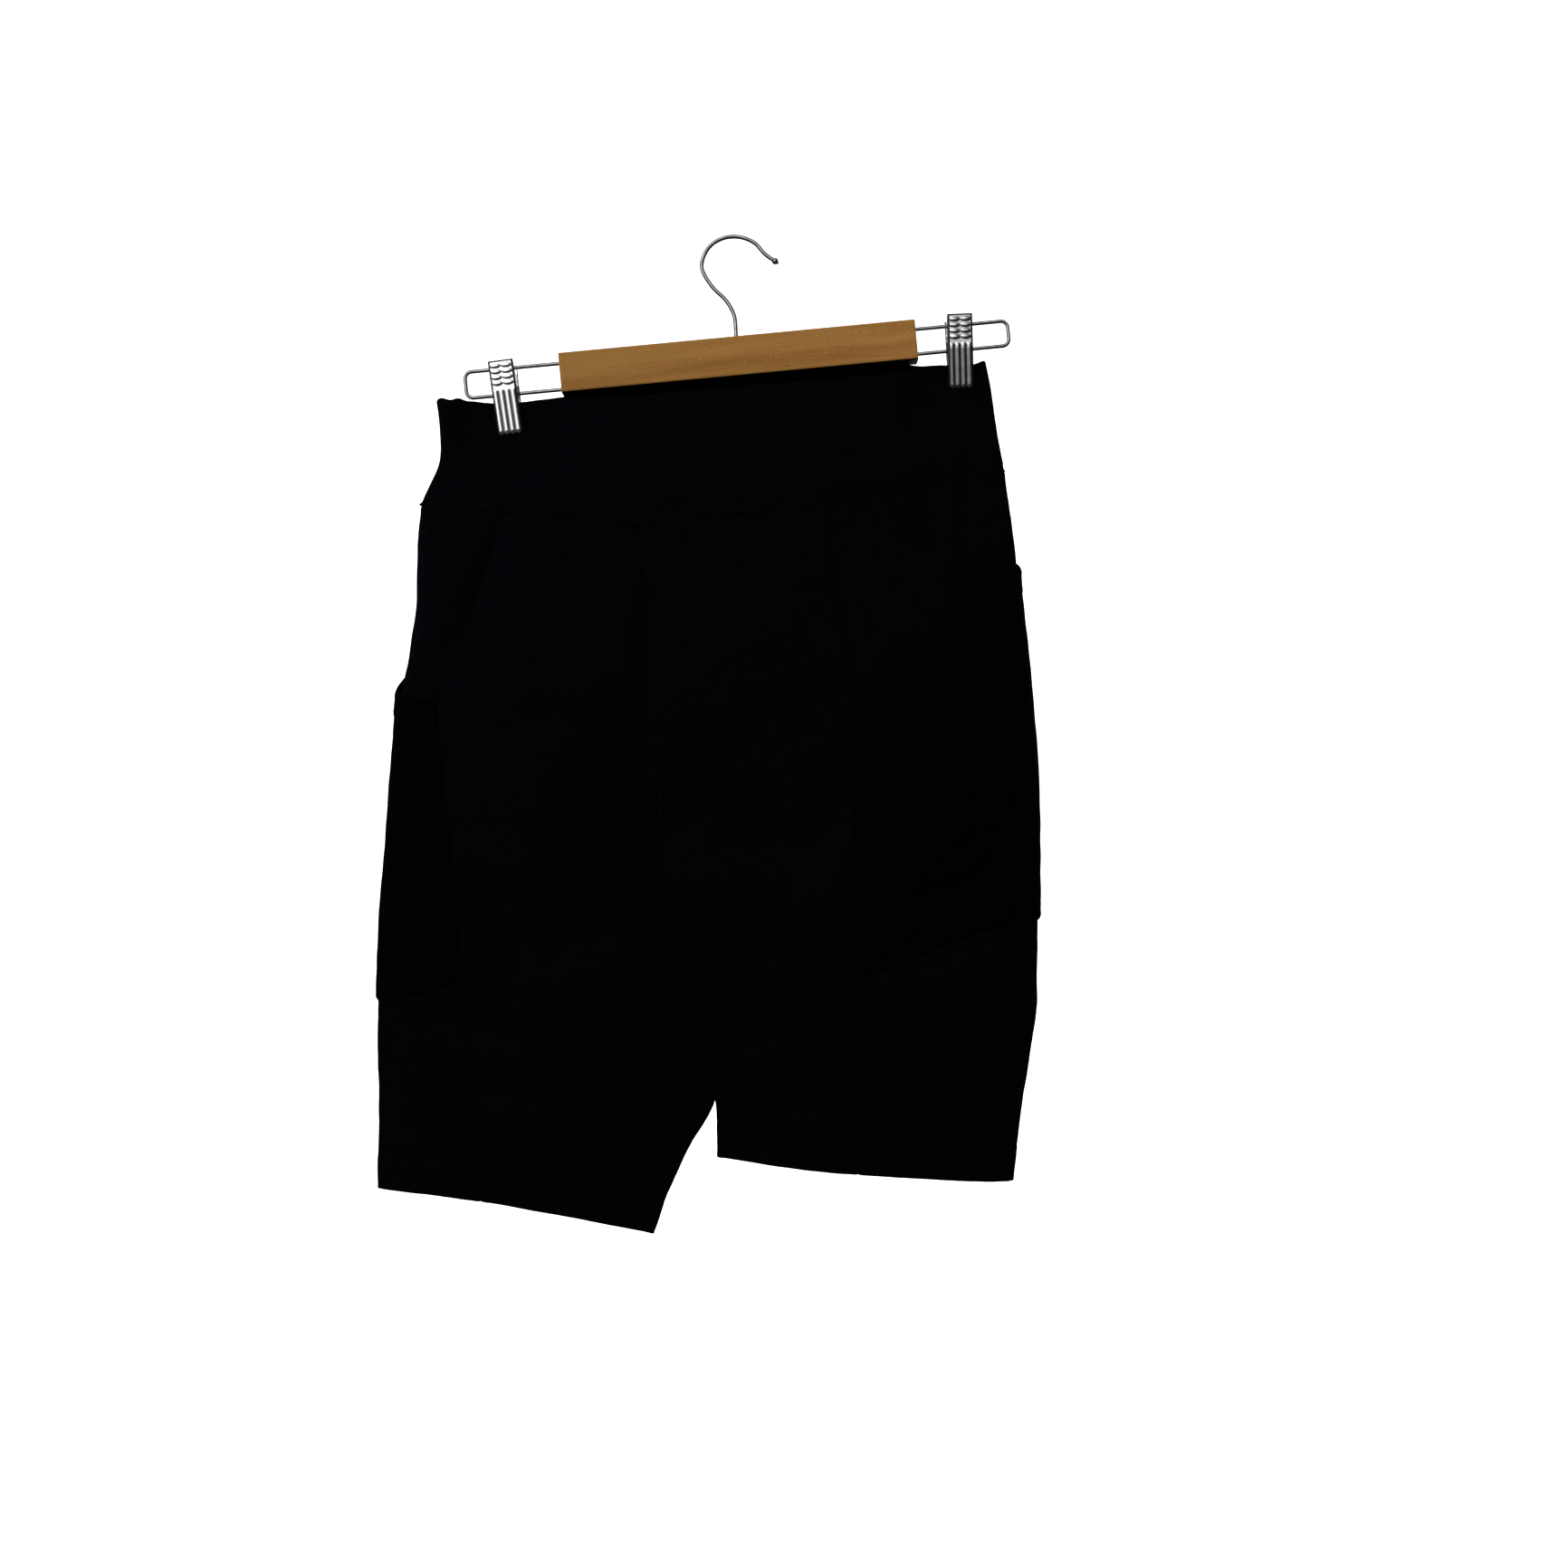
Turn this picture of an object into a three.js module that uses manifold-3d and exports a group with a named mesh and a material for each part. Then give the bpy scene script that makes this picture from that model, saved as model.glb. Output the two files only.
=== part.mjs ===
// High-waisted athletic shorts on the wood and wire clip hanger that holds them.
// Millimetres, +Z up, front towards -Y. The origin is the inside top of the hook, where a rail holds it.
// The hanger hangs a little to one side, so its left end and the left leg are the lower ones.
import * as THREE from 'three';
import { mergeVertices } from 'three/addons/utils/BufferGeometryUtils.js';
import Module from 'manifold-3d';

const wasm = await Module();
wasm.setup();

const GAP = 0.3; // room between pieces that meet

// Cloth walls
const PANEL_WALL = 1.4;
const BAND_WALL = 2.0;
const POCKET_WALL = 1.2;

// Hanger
const TILT = THREE.MathUtils.degToRad(5.4);
const BAR = { x: 2.2, z: -77.0, long: 230.8, tall: 25.6, deep: 16, edge: 1.2 };
const WIRE_RADIUS = 1.25;
const LOOP = { corner: 4.4, socket: 7 };
const LOOPS = {
  left: { reach: 63.4, top: 7.8, bottom: -9.2 },
  right: { reach: 61.5, top: 8.1, bottom: -8 },
};
const HOOK_RADIUS = 1.35;
const HOOK_SOCKET = 9;
const HOOK_BALL = 2.3;

// Clips: sizes about the pin that joins the two jaws, z up
const CLIP = { wide: 16.2, plate: 1, top: 12.2, bend: -5, tip: -35, topY: 9, bendY: 7.6, pad: 2 };
const EAR = { wall: 0.8, tall: 12, nose: 3.6 };
const PIN_RADIUS = 1.2;
const SPRING = { radius: 3, long: 9 };
const CLIPS = {
  left: { x: -149.3, z: -92.4, lean: THREE.MathUtils.degToRad(7.4) },
  right: { x: 145.1, z: -62.6, lean: THREE.MathUtils.degToRad(2.2) },
};
const PINCH_DEPTH = 1.35; // from the middle plane to the middle of a gripped layer
const PINCH = { flat: 24, fade: 46, below: 4, release: 48 };

// ---------------------------------------------------------------- tables and small functions

const mix = (a, b, t) => a + (b - a) * t;
const clamp = (t) => Math.min(Math.max(t, 0), 1);
const smooth = (t) => clamp(t) ** 2 * (3 - 2 * clamp(t));

function table(columns, ...rows) {
  return rows.map((row) => Object.fromEntries(columns.map((name, i) => [name, row[i]])));
}

// Value of one column at a station, on a smooth curve through the rows.
function read(rows, column, at) {
  const last = rows.length - 1;
  const i = Math.min(rows.findLastIndex((row, k) => k === 0 || row.at <= at), last - 1);
  const slope = (k) => {
    const low = rows[Math.max(k - 1, 0)];
    const high = rows[Math.min(k + 1, last)];
    return (high[column] - low[column]) / (high.at - low.at);
  };
  const span = rows[i + 1].at - rows[i].at;
  const t = clamp((at - rows[i].at) / span);
  const cubic = 3 * t ** 2 - 2 * t ** 3;
  const start = (t - 2 * t ** 2 + t ** 3) * span * slope(i);
  const end = (t ** 3 - t ** 2) * span * slope(i + 1);
  return mix(rows[i][column], rows[i + 1][column], cubic) + start + end;
}

// ---------------------------------------------------------------- the cut of the shorts

// "at" is the drop below the waist seam, measured down the side. Each half of the shorts runs from
// the centre front round the side to the centre back, and closes into a leg below the crotch.
const CROTCH = 222;
const LEG_TOP = 226;
const HEM = 445;

// Where the front and back centre seams run. open is 1 where the halves share one full hollow.
const CENTRE = table(
  ['at', 'x', 'z', 'backX', 'backZ', 'open'],
  [0, -61.6, -187.0, 31, -160, 1],
  [30, -60.2, -209, 27, -191, 1],
  [70, -56.5, -236, 18, -231, 1],
  [105, -51.5, -264, 6, -267, 1],
  [135, -49.6, -294, -8, -299, 0.96],
  [165, -49.0, -326, -24, -331, 0.82],
  [195, -49.2, -359, -40, -364, 0.48],
  [CROTCH, -50.2, -389.6, -50.2, -389.6, 0],
);

// The fold of each leg at its inseam. lean is how far it sits behind the middle plane.
const INSEAM = {
  left: table(
    ['at', 'x', 'z', 'lean'],
    [LEG_TOP, -51.8, -394, 3],
    [240, -36, -408, 7.5],
    [262, -21, -431, 10],
    [290, -9, -459, 11],
    [320, -5, -490, 11],
    [350, -6, -522, 10],
    [385, -13.5, -560, 7],
    [410, -29.4, -588, 5],
    [430, -43.1, -617, 3],
    [HEM, -52.8, -643.8, 2],
  ),
  right: table(
    ['at', 'x', 'z', 'lean'],
    [LEG_TOP, -48.6, -394, -3],
    [240, -44, -408, -5],
    [262, -34.9, -430, -6],
    [290, -26.6, -457, -6],
    [320, -21.3, -489, -6],
    [350, -16, -518, -6],
    [385, -13.2, -551, -5],
    [410, -11, -572, -4],
    [430, -10.6, -584.5, -3],
    [HEM, -11, -592.9, -3],
  ),
};

// The outer fold of each half, and where the two seams of its side panel run.
const SIDE = {
  left: table(
    ['at', 'x', 'z', 'seamX', 'rearX', 'deep'],
    [0, -203.1, -172.0, -178, -92, 13],
    [30, -205.2, -198, -181, -93, 16],
    [70, -206.0, -234, -185, -94, 19],
    [105, -210.8, -268, -190, -96, 21.5],
    [135, -215.8, -300, -191, -98, 23],
    [165, -218.5, -333, -188, -100, 23.5],
    [195, -221.1, -366, -185, -103, 23],
    [CROTCH, -223.6, -395, -182, -106, 21],
    [262, -227.5, -434, -178, -115, 18],
    [320, -230.6, -493, -174, -132, 15],
    [385, -230.6, -552, -169, -150, 13],
    [430, -230.5, -594, -165, -163, 12],
    [HEM, -230.6, -613.8, -163, -168, 12],
  ),
  right: table(
    ['at', 'x', 'z', 'seamX', 'rearX', 'deep'],
    [0, 173.7, -150.2, 59.3, 148, 13],
    [30, 179.1, -183.5, 60.5, 151, 16],
    [70, 183.0, -227, 66, 155, 19],
    [105, 187.2, -264, 71.4, 158, 21.5],
    [135, 190.4, -298, 75.4, 161, 23],
    [165, 193.2, -332, 76.6, 163, 23.5],
    [195, 195.0, -365, 76.6, 165, 23],
    [CROTCH, 195.4, -395, 76.6, 165, 22.5],
    [262, 194.7, -437.5, 76.6, 163, 22],
    [320, 193.4, -495, 76.6, 158, 22],
    [385, 186.1, -556, 77.5, 150, 22],
    [430, 181.4, -595, 78.5, 146, 22],
    [HEM, 179.6, -608.6, 78.8, 144, 22],
  ),
};

const ROUND = 2.6; // fullness of a section: 2 is an ellipse, more is flatter with blunter sides
const WEDGE = 0.45; // share of a half's width over which it opens out from the crotch or inseam
const CREASE = 1.6; // radius of the fold at the inseam
const CROTCH_DEPTH = 0.13; // how far apart front and back stay at the crotch, as a share of the depth
const LEAN_REACH = 0.55; // share of a half's width that leans with its inseam
const FOLD_ROOM = 8; // a fold is at its full depth where the section is at least this deep

// The waist seam rises and dips along the front.
const SEAM_WAVES = table(
  ['x', 'wide', 'rise'],
  [-36, 15, 6],
  [38, 42, -4.5],
  [110, 17, -3],
);
const WAVE_FADE = 60;
const HEM_RISE = { left: 5.5, right: 0 };
const HEM_FADE = 60;

// Largest folds: soft troughs (depth above zero) and ridges along lines on the front or the back.
const FOLDS = table(
  ['side', 'x1', 'z1', 'x2', 'z2', 'wide', 'depth'],
  ['front', -147, -178, -174, -262, 11, 4],
  ['front', -55, -240, -52, -340, 7, 3.5],
  ['front', -70, -330, -90, -440, 26, 5],
  ['front', 123, -160, 125, -202, 7, 2.5],
  ['front', 148, -215, 160, -262, 8, 3],
  ['front', 60, -418, 42, -476, 16, -3],
  ['front', 96, -484, 168, -470, 10, -3],
  ['back', 25, -200, -20, -330, 9, 4],
  ['back', 140, -150, 128, -260, 12, 4],
  ['back', -140, -172, -120, -250, 12, 3.5],
  ['back', -70, -420, -150, -460, 16, 4],
  ['back', 60, -400, 130, -440, 16, 4],
);

function fold(side, x, z) {
  const push = FOLDS.filter((row) => row.side === side).reduce((sum, row) => {
    const [runX, runZ] = [row.x2 - row.x1, row.z2 - row.z1];
    const along = clamp(((x - row.x1) * runX + (z - row.z1) * runZ) / (runX ** 2 + runZ ** 2));
    const away = Math.hypot(x - row.x1 - along * runX, z - row.z1 - along * runZ);
    return sum + row.depth * Math.exp(-((away / row.wide) ** 2));
  }, 0);
  return side === 'front' ? push : -push;
}

function station(half, at) {
  const inner = at <= CROTCH ? CENTRE : INSEAM[half];
  const leg = at > CROTCH;
  const side = SIDE[half];
  return {
    inX: read(inner, 'x', at),
    inZ: read(inner, 'z', at),
    backX: read(inner, leg ? 'x' : 'backX', at),
    backZ: read(inner, leg ? 'z' : 'backZ', at),
    open: leg ? 0 : read(inner, 'open', at),
    lean: leg ? read(inner, 'lean', at) : 0,
    outX: read(side, 'x', at),
    outZ: read(side, 'z', at),
    deep: read(side, 'deep', at),
    seamX: read(side, 'seamX', at),
    rearX: read(side, 'rearX', at),
  };
}

// Share of the way from the inner edge to the outer fold, closer together where the cloth turns.
function spread(h, open) {
  return mix((1 - Math.cos(Math.PI * h)) / 2, Math.sin((Math.PI * h) / 2), open);
}

function bumps(rows, x) {
  return rows.reduce((sum, row) => sum + row.rise * Math.exp(-(((x - row.x) / row.wide) ** 2)), 0);
}

function waves(x, at, half, share) {
  const seam = bumps(SEAM_WAVES, x);
  const hem = HEM_RISE[half] * Math.sin(Math.PI * share);
  return seam * (1 - smooth(at / WAVE_FADE)) + hem * smooth(1 - (HEM - at) / HEM_FADE);
}

// How far a section stands from its middle plane: one open side in the body, a crease each side in a leg.
function fullness(s, share, width, leg) {
  const full = s.deep * Math.sqrt(1 - share ** ROUND);
  const wedge = Math.sin((Math.PI / 2) * clamp(share / WEDGE));
  const closing = Math.hypot(wedge, CROTCH_DEPTH) / Math.hypot(1, CROTCH_DEPTH);
  if (!leg) return full * mix(closing, 1, s.open);
  const crease = CREASE * Math.sqrt(1 - (1 - clamp((share * width) / CREASE)) ** 2);
  return Math.hypot(full * wedge, share < WEDGE ? crease * (1 - share / WEDGE) : 0);
}

// A point of the shorts' middle surface. round runs 0 at the inner front edge, 1 at the outer fold
// and 2 at the inner back edge.
function bodyPoint(half, round, at) {
  const s = station(half, at);
  const front = round <= 1;
  const share = spread(front ? round : 2 - round, s.open);
  const x = mix(front ? s.inX : s.backX, s.outX, share);
  const level = mix(front ? s.inZ : s.backZ, s.outZ, share);
  const z = level + (front ? waves(x, at, half, share) : 0);
  const reach = fullness(s, share, Math.abs(s.outX - (front ? s.inX : s.backX)), at > CROTCH);
  const lean = s.lean * (1 - smooth(share / LEAN_REACH));
  const ease = clamp(reach / FOLD_ROOM);
  const side = front ? 'front' : 'back';
  return new THREE.Vector3(x, lean + (front ? -reach : reach) + ease * fold(side, x, z), z);
}

// Where around a half a seam lies, from the seam's place across it, found by halving.
const HALVINGS = 24;

function roundOf(half, at, x, back) {
  const s = station(half, at);
  const innerX = back ? s.backX : s.inX;
  const share = (x - innerX) / (s.outX - innerX);
  let [low, high] = [0, 1];
  for (let i = 0; i < HALVINGS; i += 1) {
    const middle = (low + high) / 2;
    if (spread(middle, s.open) < share) low = middle;
    else high = middle;
  }
  return back ? 2 - low : low;
}

const frontSeam = (half, at) => roundOf(half, at, station(half, at).seamX, false);
const rearSeam = (half, at) => roundOf(half, at, station(half, at).rearX, true);

// ---------------------------------------------------------------- walls of cloth

// A closed wall on a surface point(u, w), at each u and w given. Its edges keep half a gap to the
// seams, and outward is 1 where u crossed with w faces out of the garment, or -1 where it faces in.
function wall(point, { us, ws, thick, outward }) {
  const tiny = 1e-4;
  const inset = GAP / 2;
  const [columns, rows] = [us.length - 1, ws.length - 1];
  const count = us.length * ws.length;
  const outer = [];
  const inner = [];
  for (let j = 0; j <= rows; j += 1) {
    for (let i = 0; i <= columns; i += 1) {
      const [u, w] = [us[i], ws[j]];
      const [u0, u1] = [Math.max(u - tiny, us[0]), Math.min(u + tiny, us[columns])];
      const [w0, w1] = [Math.max(w - tiny, ws[0]), Math.min(w + tiny, ws[rows])];
      const across = point(u1, w).sub(point(u0, w)).normalize();
      const down = point(u, w1).sub(point(u, w0)).normalize();
      const normal = new THREE.Vector3().crossVectors(across, down).normalize().multiplyScalar(outward);
      const place = point(u, w);
      if (i === 0 || i === columns) place.addScaledVector(across, i === 0 ? inset : -inset);
      if (j === 0 || j === rows) place.addScaledVector(down, j === 0 ? inset : -inset);
      outer.push(place.clone().addScaledVector(normal, thick / 2));
      inner.push(place.addScaledVector(normal, -thick / 2));
    }
  }
  const faces = [];
  const quad = (a, b, c, d) => faces.push(...(outward > 0 ? [a, b, c, a, c, d] : [a, c, b, a, d, c]));
  const at = (i, j) => j * (columns + 1) + i;
  for (let j = 0; j < rows; j += 1) {
    for (let i = 0; i < columns; i += 1) {
      quad(at(i, j), at(i + 1, j), at(i + 1, j + 1), at(i, j + 1));
      quad(count + at(i, j), count + at(i, j + 1), count + at(i + 1, j + 1), count + at(i + 1, j));
    }
  }
  for (let i = 0; i < columns; i += 1) {
    quad(count + at(i, 0), count + at(i + 1, 0), at(i + 1, 0), at(i, 0));
    quad(at(i, rows), at(i + 1, rows), count + at(i + 1, rows), count + at(i, rows));
  }
  for (let j = 0; j < rows; j += 1) {
    quad(at(0, j), at(0, j + 1), count + at(0, j + 1), count + at(0, j));
    quad(count + at(columns, j), count + at(columns, j + 1), at(columns, j + 1), at(columns, j));
  }
  const geometry = new THREE.BufferGeometry();
  const positions = [...outer, ...inner].flatMap((p) => [p.x, p.y, p.z]);
  geometry.setAttribute('position', new THREE.Float32BufferAttribute(positions, 3));
  geometry.setIndex(faces);
  geometry.computeVertexNormals();
  return geometry;
}

// Drops below the waist seam that get a row: even steps above the crotch and down the leg.
const steps = (from, to, count) => Array.from({ length: count + 1 }, (_, i) => mix(from, to, i / count));
const ROWS = [...steps(0, CROTCH, 8), ...steps(LEG_TOP, HEM, 8)];

// Columns of each panel round a half, by the share of the panel. A side panel has one on its fold.
const FOLD_SHARE = 0.5;
const COLUMNS = {
  left: { front: steps(0, 1, 8), side: [...steps(0, FOLD_SHARE, 3), ...steps(FOLD_SHARE, 1, 7).slice(1)] },
  right: { front: steps(0, 1, 6), side: [...steps(0, FOLD_SHARE, 7), ...steps(FOLD_SHARE, 1, 3).slice(1)] },
};
COLUMNS.left.back = COLUMNS.right.front;
COLUMNS.right.back = COLUMNS.left.front;

const PANEL_ROUND = {
  front: (half, at, u) => mix(0, frontSeam(half, at), u),
  side: (half, at, u) => (u < FOLD_SHARE
    ? mix(frontSeam(half, at), 1, u / FOLD_SHARE)
    : mix(1, rearSeam(half, at), (u - FOLD_SHARE) / (1 - FOLD_SHARE))),
  back: (half, at, u) => mix(rearSeam(half, at), 2, u),
};

const handed = { left: -1, right: 1 };

function panel(half, name) {
  const point = (u, at) => bodyPoint(half, PANEL_ROUND[name](half, at, u), at);
  return wall(point, { us: COLUMNS[half][name], ws: ROWS, thick: PANEL_WALL, outward: -handed[half] });
}

// ---------------------------------------------------------------- pockets on the side panels

// Across the side panel from its front seam (0) by its fold (0.5) to its rear seam (1): the drop of
// the pocket's mouth and base, and how far its mouth stands off the panel.
const POCKET = {
  left: table(
    ['at', 'mouth', 'base', 'puff'],
    [0, 137, 306, 0],
    [0.1, 134, 312, 1.5],
    [0.3, 130, 318, 3.5],
    [0.5, 124, 319, 4],
    [0.68, 98, 311, 5.5],
    [0.83, 60, 300, 5],
    [1, 42, 290, 0],
  ),
  right: table(
    ['at', 'mouth', 'base', 'puff'],
    [0, 121, 303, 0],
    [0.04, 128, 301, 2.5],
    [0.1, 126, 291, 5],
    [0.15, 114, 283, 6],
    [0.22, 102, 274, 6],
    [0.28, 84, 270, 4.5],
    [0.39, 67, 266, 2],
    [0.5, 58, 264, 0.6],
    [0.75, 50, 260, 2.5],
    [1, 46, 258, 0],
  ),
};
const POCKET_EASE = 0.7; // more room under a pocket, which lies over the folds of its side panel

// A point on the flat faces of a side panel's middle surface.
function facetPoint(half, u, at) {
  const cell = (stops, value) => {
    const k = Math.min(stops.findLastIndex((stop, i) => i === 0 || stop <= value), stops.length - 2);
    return [stops[k], stops[k + 1], (value - stops[k]) / (stops[k + 1] - stops[k])];
  };
  const [u0, u1, s] = cell(COLUMNS[half].side, u);
  const [at0, at1, t] = cell(ROWS, at);
  const corner = (a, b) => bodyPoint(half, PANEL_ROUND.side(half, b, a), b);
  return corner(u0, at0).lerp(corner(u1, at0), s).lerp(corner(u0, at1).lerp(corner(u1, at1), s), t);
}

function pocket(half) {
  const lift = PANEL_WALL / 2 + GAP + POCKET_EASE + POCKET_WALL / 2;
  const tiny = 1e-3;
  const point = (u, w) => {
    const at = mix(read(POCKET[half], 'mouth', u), read(POCKET[half], 'base', u), w);
    const under = (shift, drop) => bodyPoint(half, PANEL_ROUND.side(half, at + drop, u) + shift, at + drop);
    const across = under(tiny, 0).sub(under(-tiny, 0));
    const down = under(0, 1).sub(under(0, -1));
    const normal = across.cross(down).normalize().multiplyScalar(-handed[half]);
    const puff = read(POCKET[half], 'puff', u) * Math.cos((Math.PI * w) / 2);
    return facetPoint(half, u, at).addScaledVector(normal, lift + puff);
  };
  const us = COLUMNS[half].side;
  return wall(point, { us, ws: steps(0, 1, 9), thick: POCKET_WALL, outward: -handed[half] });
}

// ---------------------------------------------------------------- waistband

// Side folds of the waistband from its top (at 0) to the waist seam (at 1).
const BAND_SIDES = table(
  ['at', 'leftX', 'leftZ', 'rightX', 'rightZ', 'deep'],
  [0, -193.1, -110.7, 162.6, -81.6, 6.5],
  [0.3, -190.9, -127, 166.3, -100, 8],
  [0.6, -191.4, -147, 169.8, -122.5, 10],
  [0.8, -198.0, -160, 172, -136.5, 11.5],
  [1, -203.1, -172.0, 173.7, -150.2, 13],
);
const BAND_END = 4; // how far in from a side fold the band reaches its full depth
// Between the clips the front edge sags. Outside them both corners stand up.
const FRONT_SAG = 2.2;
const SAG_START = 40; // how far in from a clip the sag is full
// The back bulges behind the bar and stands above its underside, with a ramp at each end.
const BEHIND = { left: -124, leftRamp: 24, right: 125, rightRamp: 22, rise: 3, deep: 14.5 };
const CORNERS = table(
  ['x', 'wide', 'rise'],
  [-186, 24, 6],
  [163, 9, 2.4],
);

function clipPull(x, z) {
  return Math.max(...Object.values(CLIPS).map((clip) => {
    const tip = clip.z + CLIP.tip;
    const middle = clip.x - Math.sin(clip.lean) * (z - clip.z);
    const aside = 1 - smooth((Math.abs(x - middle) - PINCH.flat) / (PINCH.fade - PINCH.flat));
    const below = 1 - smooth((tip - PINCH.below - z) / PINCH.release);
    return aside * below;
  }));
}

function waistDepth(x, back) {
  const half = x < (back ? CENTRE[0].backX : CENTRE[0].x) ? 'left' : 'right';
  const s = station(half, 0);
  const innerX = back ? s.backX : s.inX;
  const share = clamp((x - innerX) / (s.outX - innerX));
  const level = mix(back ? s.backZ : s.inZ, s.outZ, share);
  return { reach: s.deep * Math.sqrt(1 - share ** ROUND), level };
}

// round runs 0 at the left fold, 1 at the right fold and 2 at the left fold again, by way of the back.
function bandPoint(round, drop) {
  const back = round > 1;
  const left = read(BAND_SIDES, 'leftX', drop);
  const right = read(BAND_SIDES, 'rightX', drop);
  const share = (1 - Math.cos(Math.PI * round)) / 2;
  const x = mix(left, right, share);
  const hem = waistDepth(mix(BAND_SIDES.at(-1).leftX, BAND_SIDES.at(-1).rightX, share), back);
  const line = mix(BAND_SIDES[0].leftZ, BAND_SIDES[0].rightZ, share);
  const between = smooth((x - CLIPS.left.x) / SAG_START) * smooth((CLIPS.right.x - x) / SAG_START);
  const leftRamp = smooth((x - BEHIND.left) / BEHIND.leftRamp);
  const behind = back ? leftRamp * smooth((BEHIND.right - x) / BEHIND.rightRamp) : 0;
  const underBar = BAR.z + (x - BAR.x) * Math.tan(TILT) - BAR.tall / 2 / Math.cos(TILT);
  const level = line - (back ? 0 : between * FRONT_SAG) + bumps(CORNERS, x);
  const top = mix(level, underBar + BEHIND.rise, behind);
  const bottom = hem.level + (back ? 0 : waves(x, 0, 'left', 0));
  const side = mix(read(BAND_SIDES, 'leftZ', drop), read(BAND_SIDES, 'rightZ', drop), share);
  const plain = mix(line, mix(BAND_SIDES.at(-1).leftZ, BAND_SIDES.at(-1).rightZ, share), drop);
  const z = mix(top, bottom, drop) + side - plain;
  const end = clamp(Math.min(x - left, right - x) / BAND_END);
  const deep = read(BAND_SIDES, 'deep', drop);
  const bow = mix(deep, Math.max(deep, BEHIND.deep), behind) * Math.sqrt(1 - (1 - end) ** 2);
  const full = mix(bow, hem.reach, smooth(drop));
  const grip = clipPull(x, z) * clamp(end);
  const reach = mix(full, PINCH_DEPTH * Math.sqrt(1 - (1 - end) ** 2), grip);
  return new THREE.Vector3(x, back ? reach : -reach, z);
}

// The band has its columns where the panels below have theirs.
function bandHalf(back) {
  const names = back ? ['back', 'side'] : ['front', 'side'];
  const xs = ['left', 'right'].flatMap((half) => names.flatMap((name) => COLUMNS[half][name]
    .map((u) => PANEL_ROUND[name](half, 0, u))
    .filter((round) => (back ? round >= 1 : round <= 1))
    .map((round) => bodyPoint(half, round, 0).x)));
  const [low, high] = [Math.min(...xs), Math.max(...xs)];
  const shares = [...new Set(xs.map((x) => Number(((x - low) / (high - low)).toFixed(5))))];
  const rounds = shares.map((share) => Math.acos(1 - 2 * share) / Math.PI).sort((a, b) => a - b);
  const us = back ? rounds.map((round) => 2 - round).reverse() : rounds;
  return wall(bandPoint, { us, ws: steps(0, 1, 6), thick: BAND_WALL, outward: 1 });
}

// ---------------------------------------------------------------- hard parts

function toSolid(geometry) {
  const plain = new THREE.BufferGeometry();
  plain.setAttribute('position', geometry.getAttribute('position'));
  if (geometry.index) plain.setIndex(geometry.index);
  const merged = mergeVertices(plain, 1e-4);
  const vertProperties = new Float32Array(merged.getAttribute('position').array);
  const triVerts = new Uint32Array(merged.index.array);
  return new wasm.Manifold(new wasm.Mesh({ numProp: 3, vertProperties, triVerts }));
}

function toGeometry(solid) {
  const mesh = solid.getMesh();
  const geometry = new THREE.BufferGeometry();
  geometry.setAttribute('position', new THREE.BufferAttribute(new Float32Array(mesh.vertProperties), 3));
  geometry.setIndex(new THREE.BufferAttribute(new Uint32Array(mesh.triVerts), 1));
  geometry.computeVertexNormals();
  return geometry;
}

function tube(curve, radius, stepCount, sides) {
  const section = new THREE.Shape().absarc(0, 0, radius, 0, Math.PI * 2);
  const options = { extrudePath: curve, steps: stepCount, bevelEnabled: false, curveSegments: sides / 2 };
  return new THREE.ExtrudeGeometry(section, options);
}

function rod(from, to, radius, sides = 16) {
  const along = to.clone().sub(from);
  const geometry = new THREE.CylinderGeometry(radius, radius, along.length(), sides);
  const turn = new THREE.Quaternion().setFromUnitVectors(new THREE.Vector3(0, 1, 0), along.normalize());
  geometry.applyQuaternion(turn);
  const middle = from.clone().add(to).multiplyScalar(0.5);
  return geometry.translate(middle.x, middle.y, middle.z);
}

// A flat shape given in the plane of y (across) and z (up), thick along x.
function slab(shape, thick) {
  const geometry = new THREE.ExtrudeGeometry(shape, { depth: thick, bevelEnabled: false, curveSegments: 8 });
  geometry.translate(0, 0, -thick / 2);
  const turn = new THREE.Matrix4().makeBasis(
    new THREE.Vector3(0, 1, 0),
    new THREE.Vector3(0, 0, 1),
    new THREE.Vector3(1, 0, 0),
  );
  return geometry.applyMatrix4(turn);
}

const DRILL_OVER = 2; // how far past a face a socket is cut

// Bar, in its own frame: x along it, origin at its middle, with a socket for each wire and the hook.
function barGeometry() {
  const [half, tall] = [BAR.long / 2 - BAR.edge, BAR.tall / 2 - BAR.edge];
  const face = new THREE.Shape([
    new THREE.Vector2(-half, -tall),
    new THREE.Vector2(half, -tall),
    new THREE.Vector2(half, tall),
    new THREE.Vector2(-half, tall),
  ]);
  const block = new THREE.ExtrudeGeometry(face, {
    depth: BAR.deep - 2 * BAR.edge,
    bevelSize: BAR.edge,
    bevelThickness: BAR.edge,
    bevelSegments: 2,
  });
  block.translate(0, 0, -(BAR.deep / 2 - BAR.edge));
  block.rotateX(Math.PI / 2);
  let bar = toSolid(block);
  for (const [side, { top, bottom }] of Object.entries(LOOPS)) {
    const end = handed[side];
    for (const level of [top, bottom]) {
      const mouth = new THREE.Vector3(end * (BAR.long / 2 + DRILL_OVER), 0, level);
      const foot = new THREE.Vector3(end * (BAR.long / 2 - LOOP.socket - GAP), 0, level);
      bar = bar.subtract(toSolid(rod(foot, mouth, WIRE_RADIUS + GAP, 12)));
    }
  }
  const mouth = new THREE.Vector3(0, 0, BAR.tall / 2 + DRILL_OVER);
  const foot = new THREE.Vector3(0, 0, BAR.tall / 2 - HOOK_SOCKET - GAP);
  return toGeometry(bar.subtract(toSolid(rod(foot, mouth, HOOK_RADIUS + GAP, 12))));
}

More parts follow.
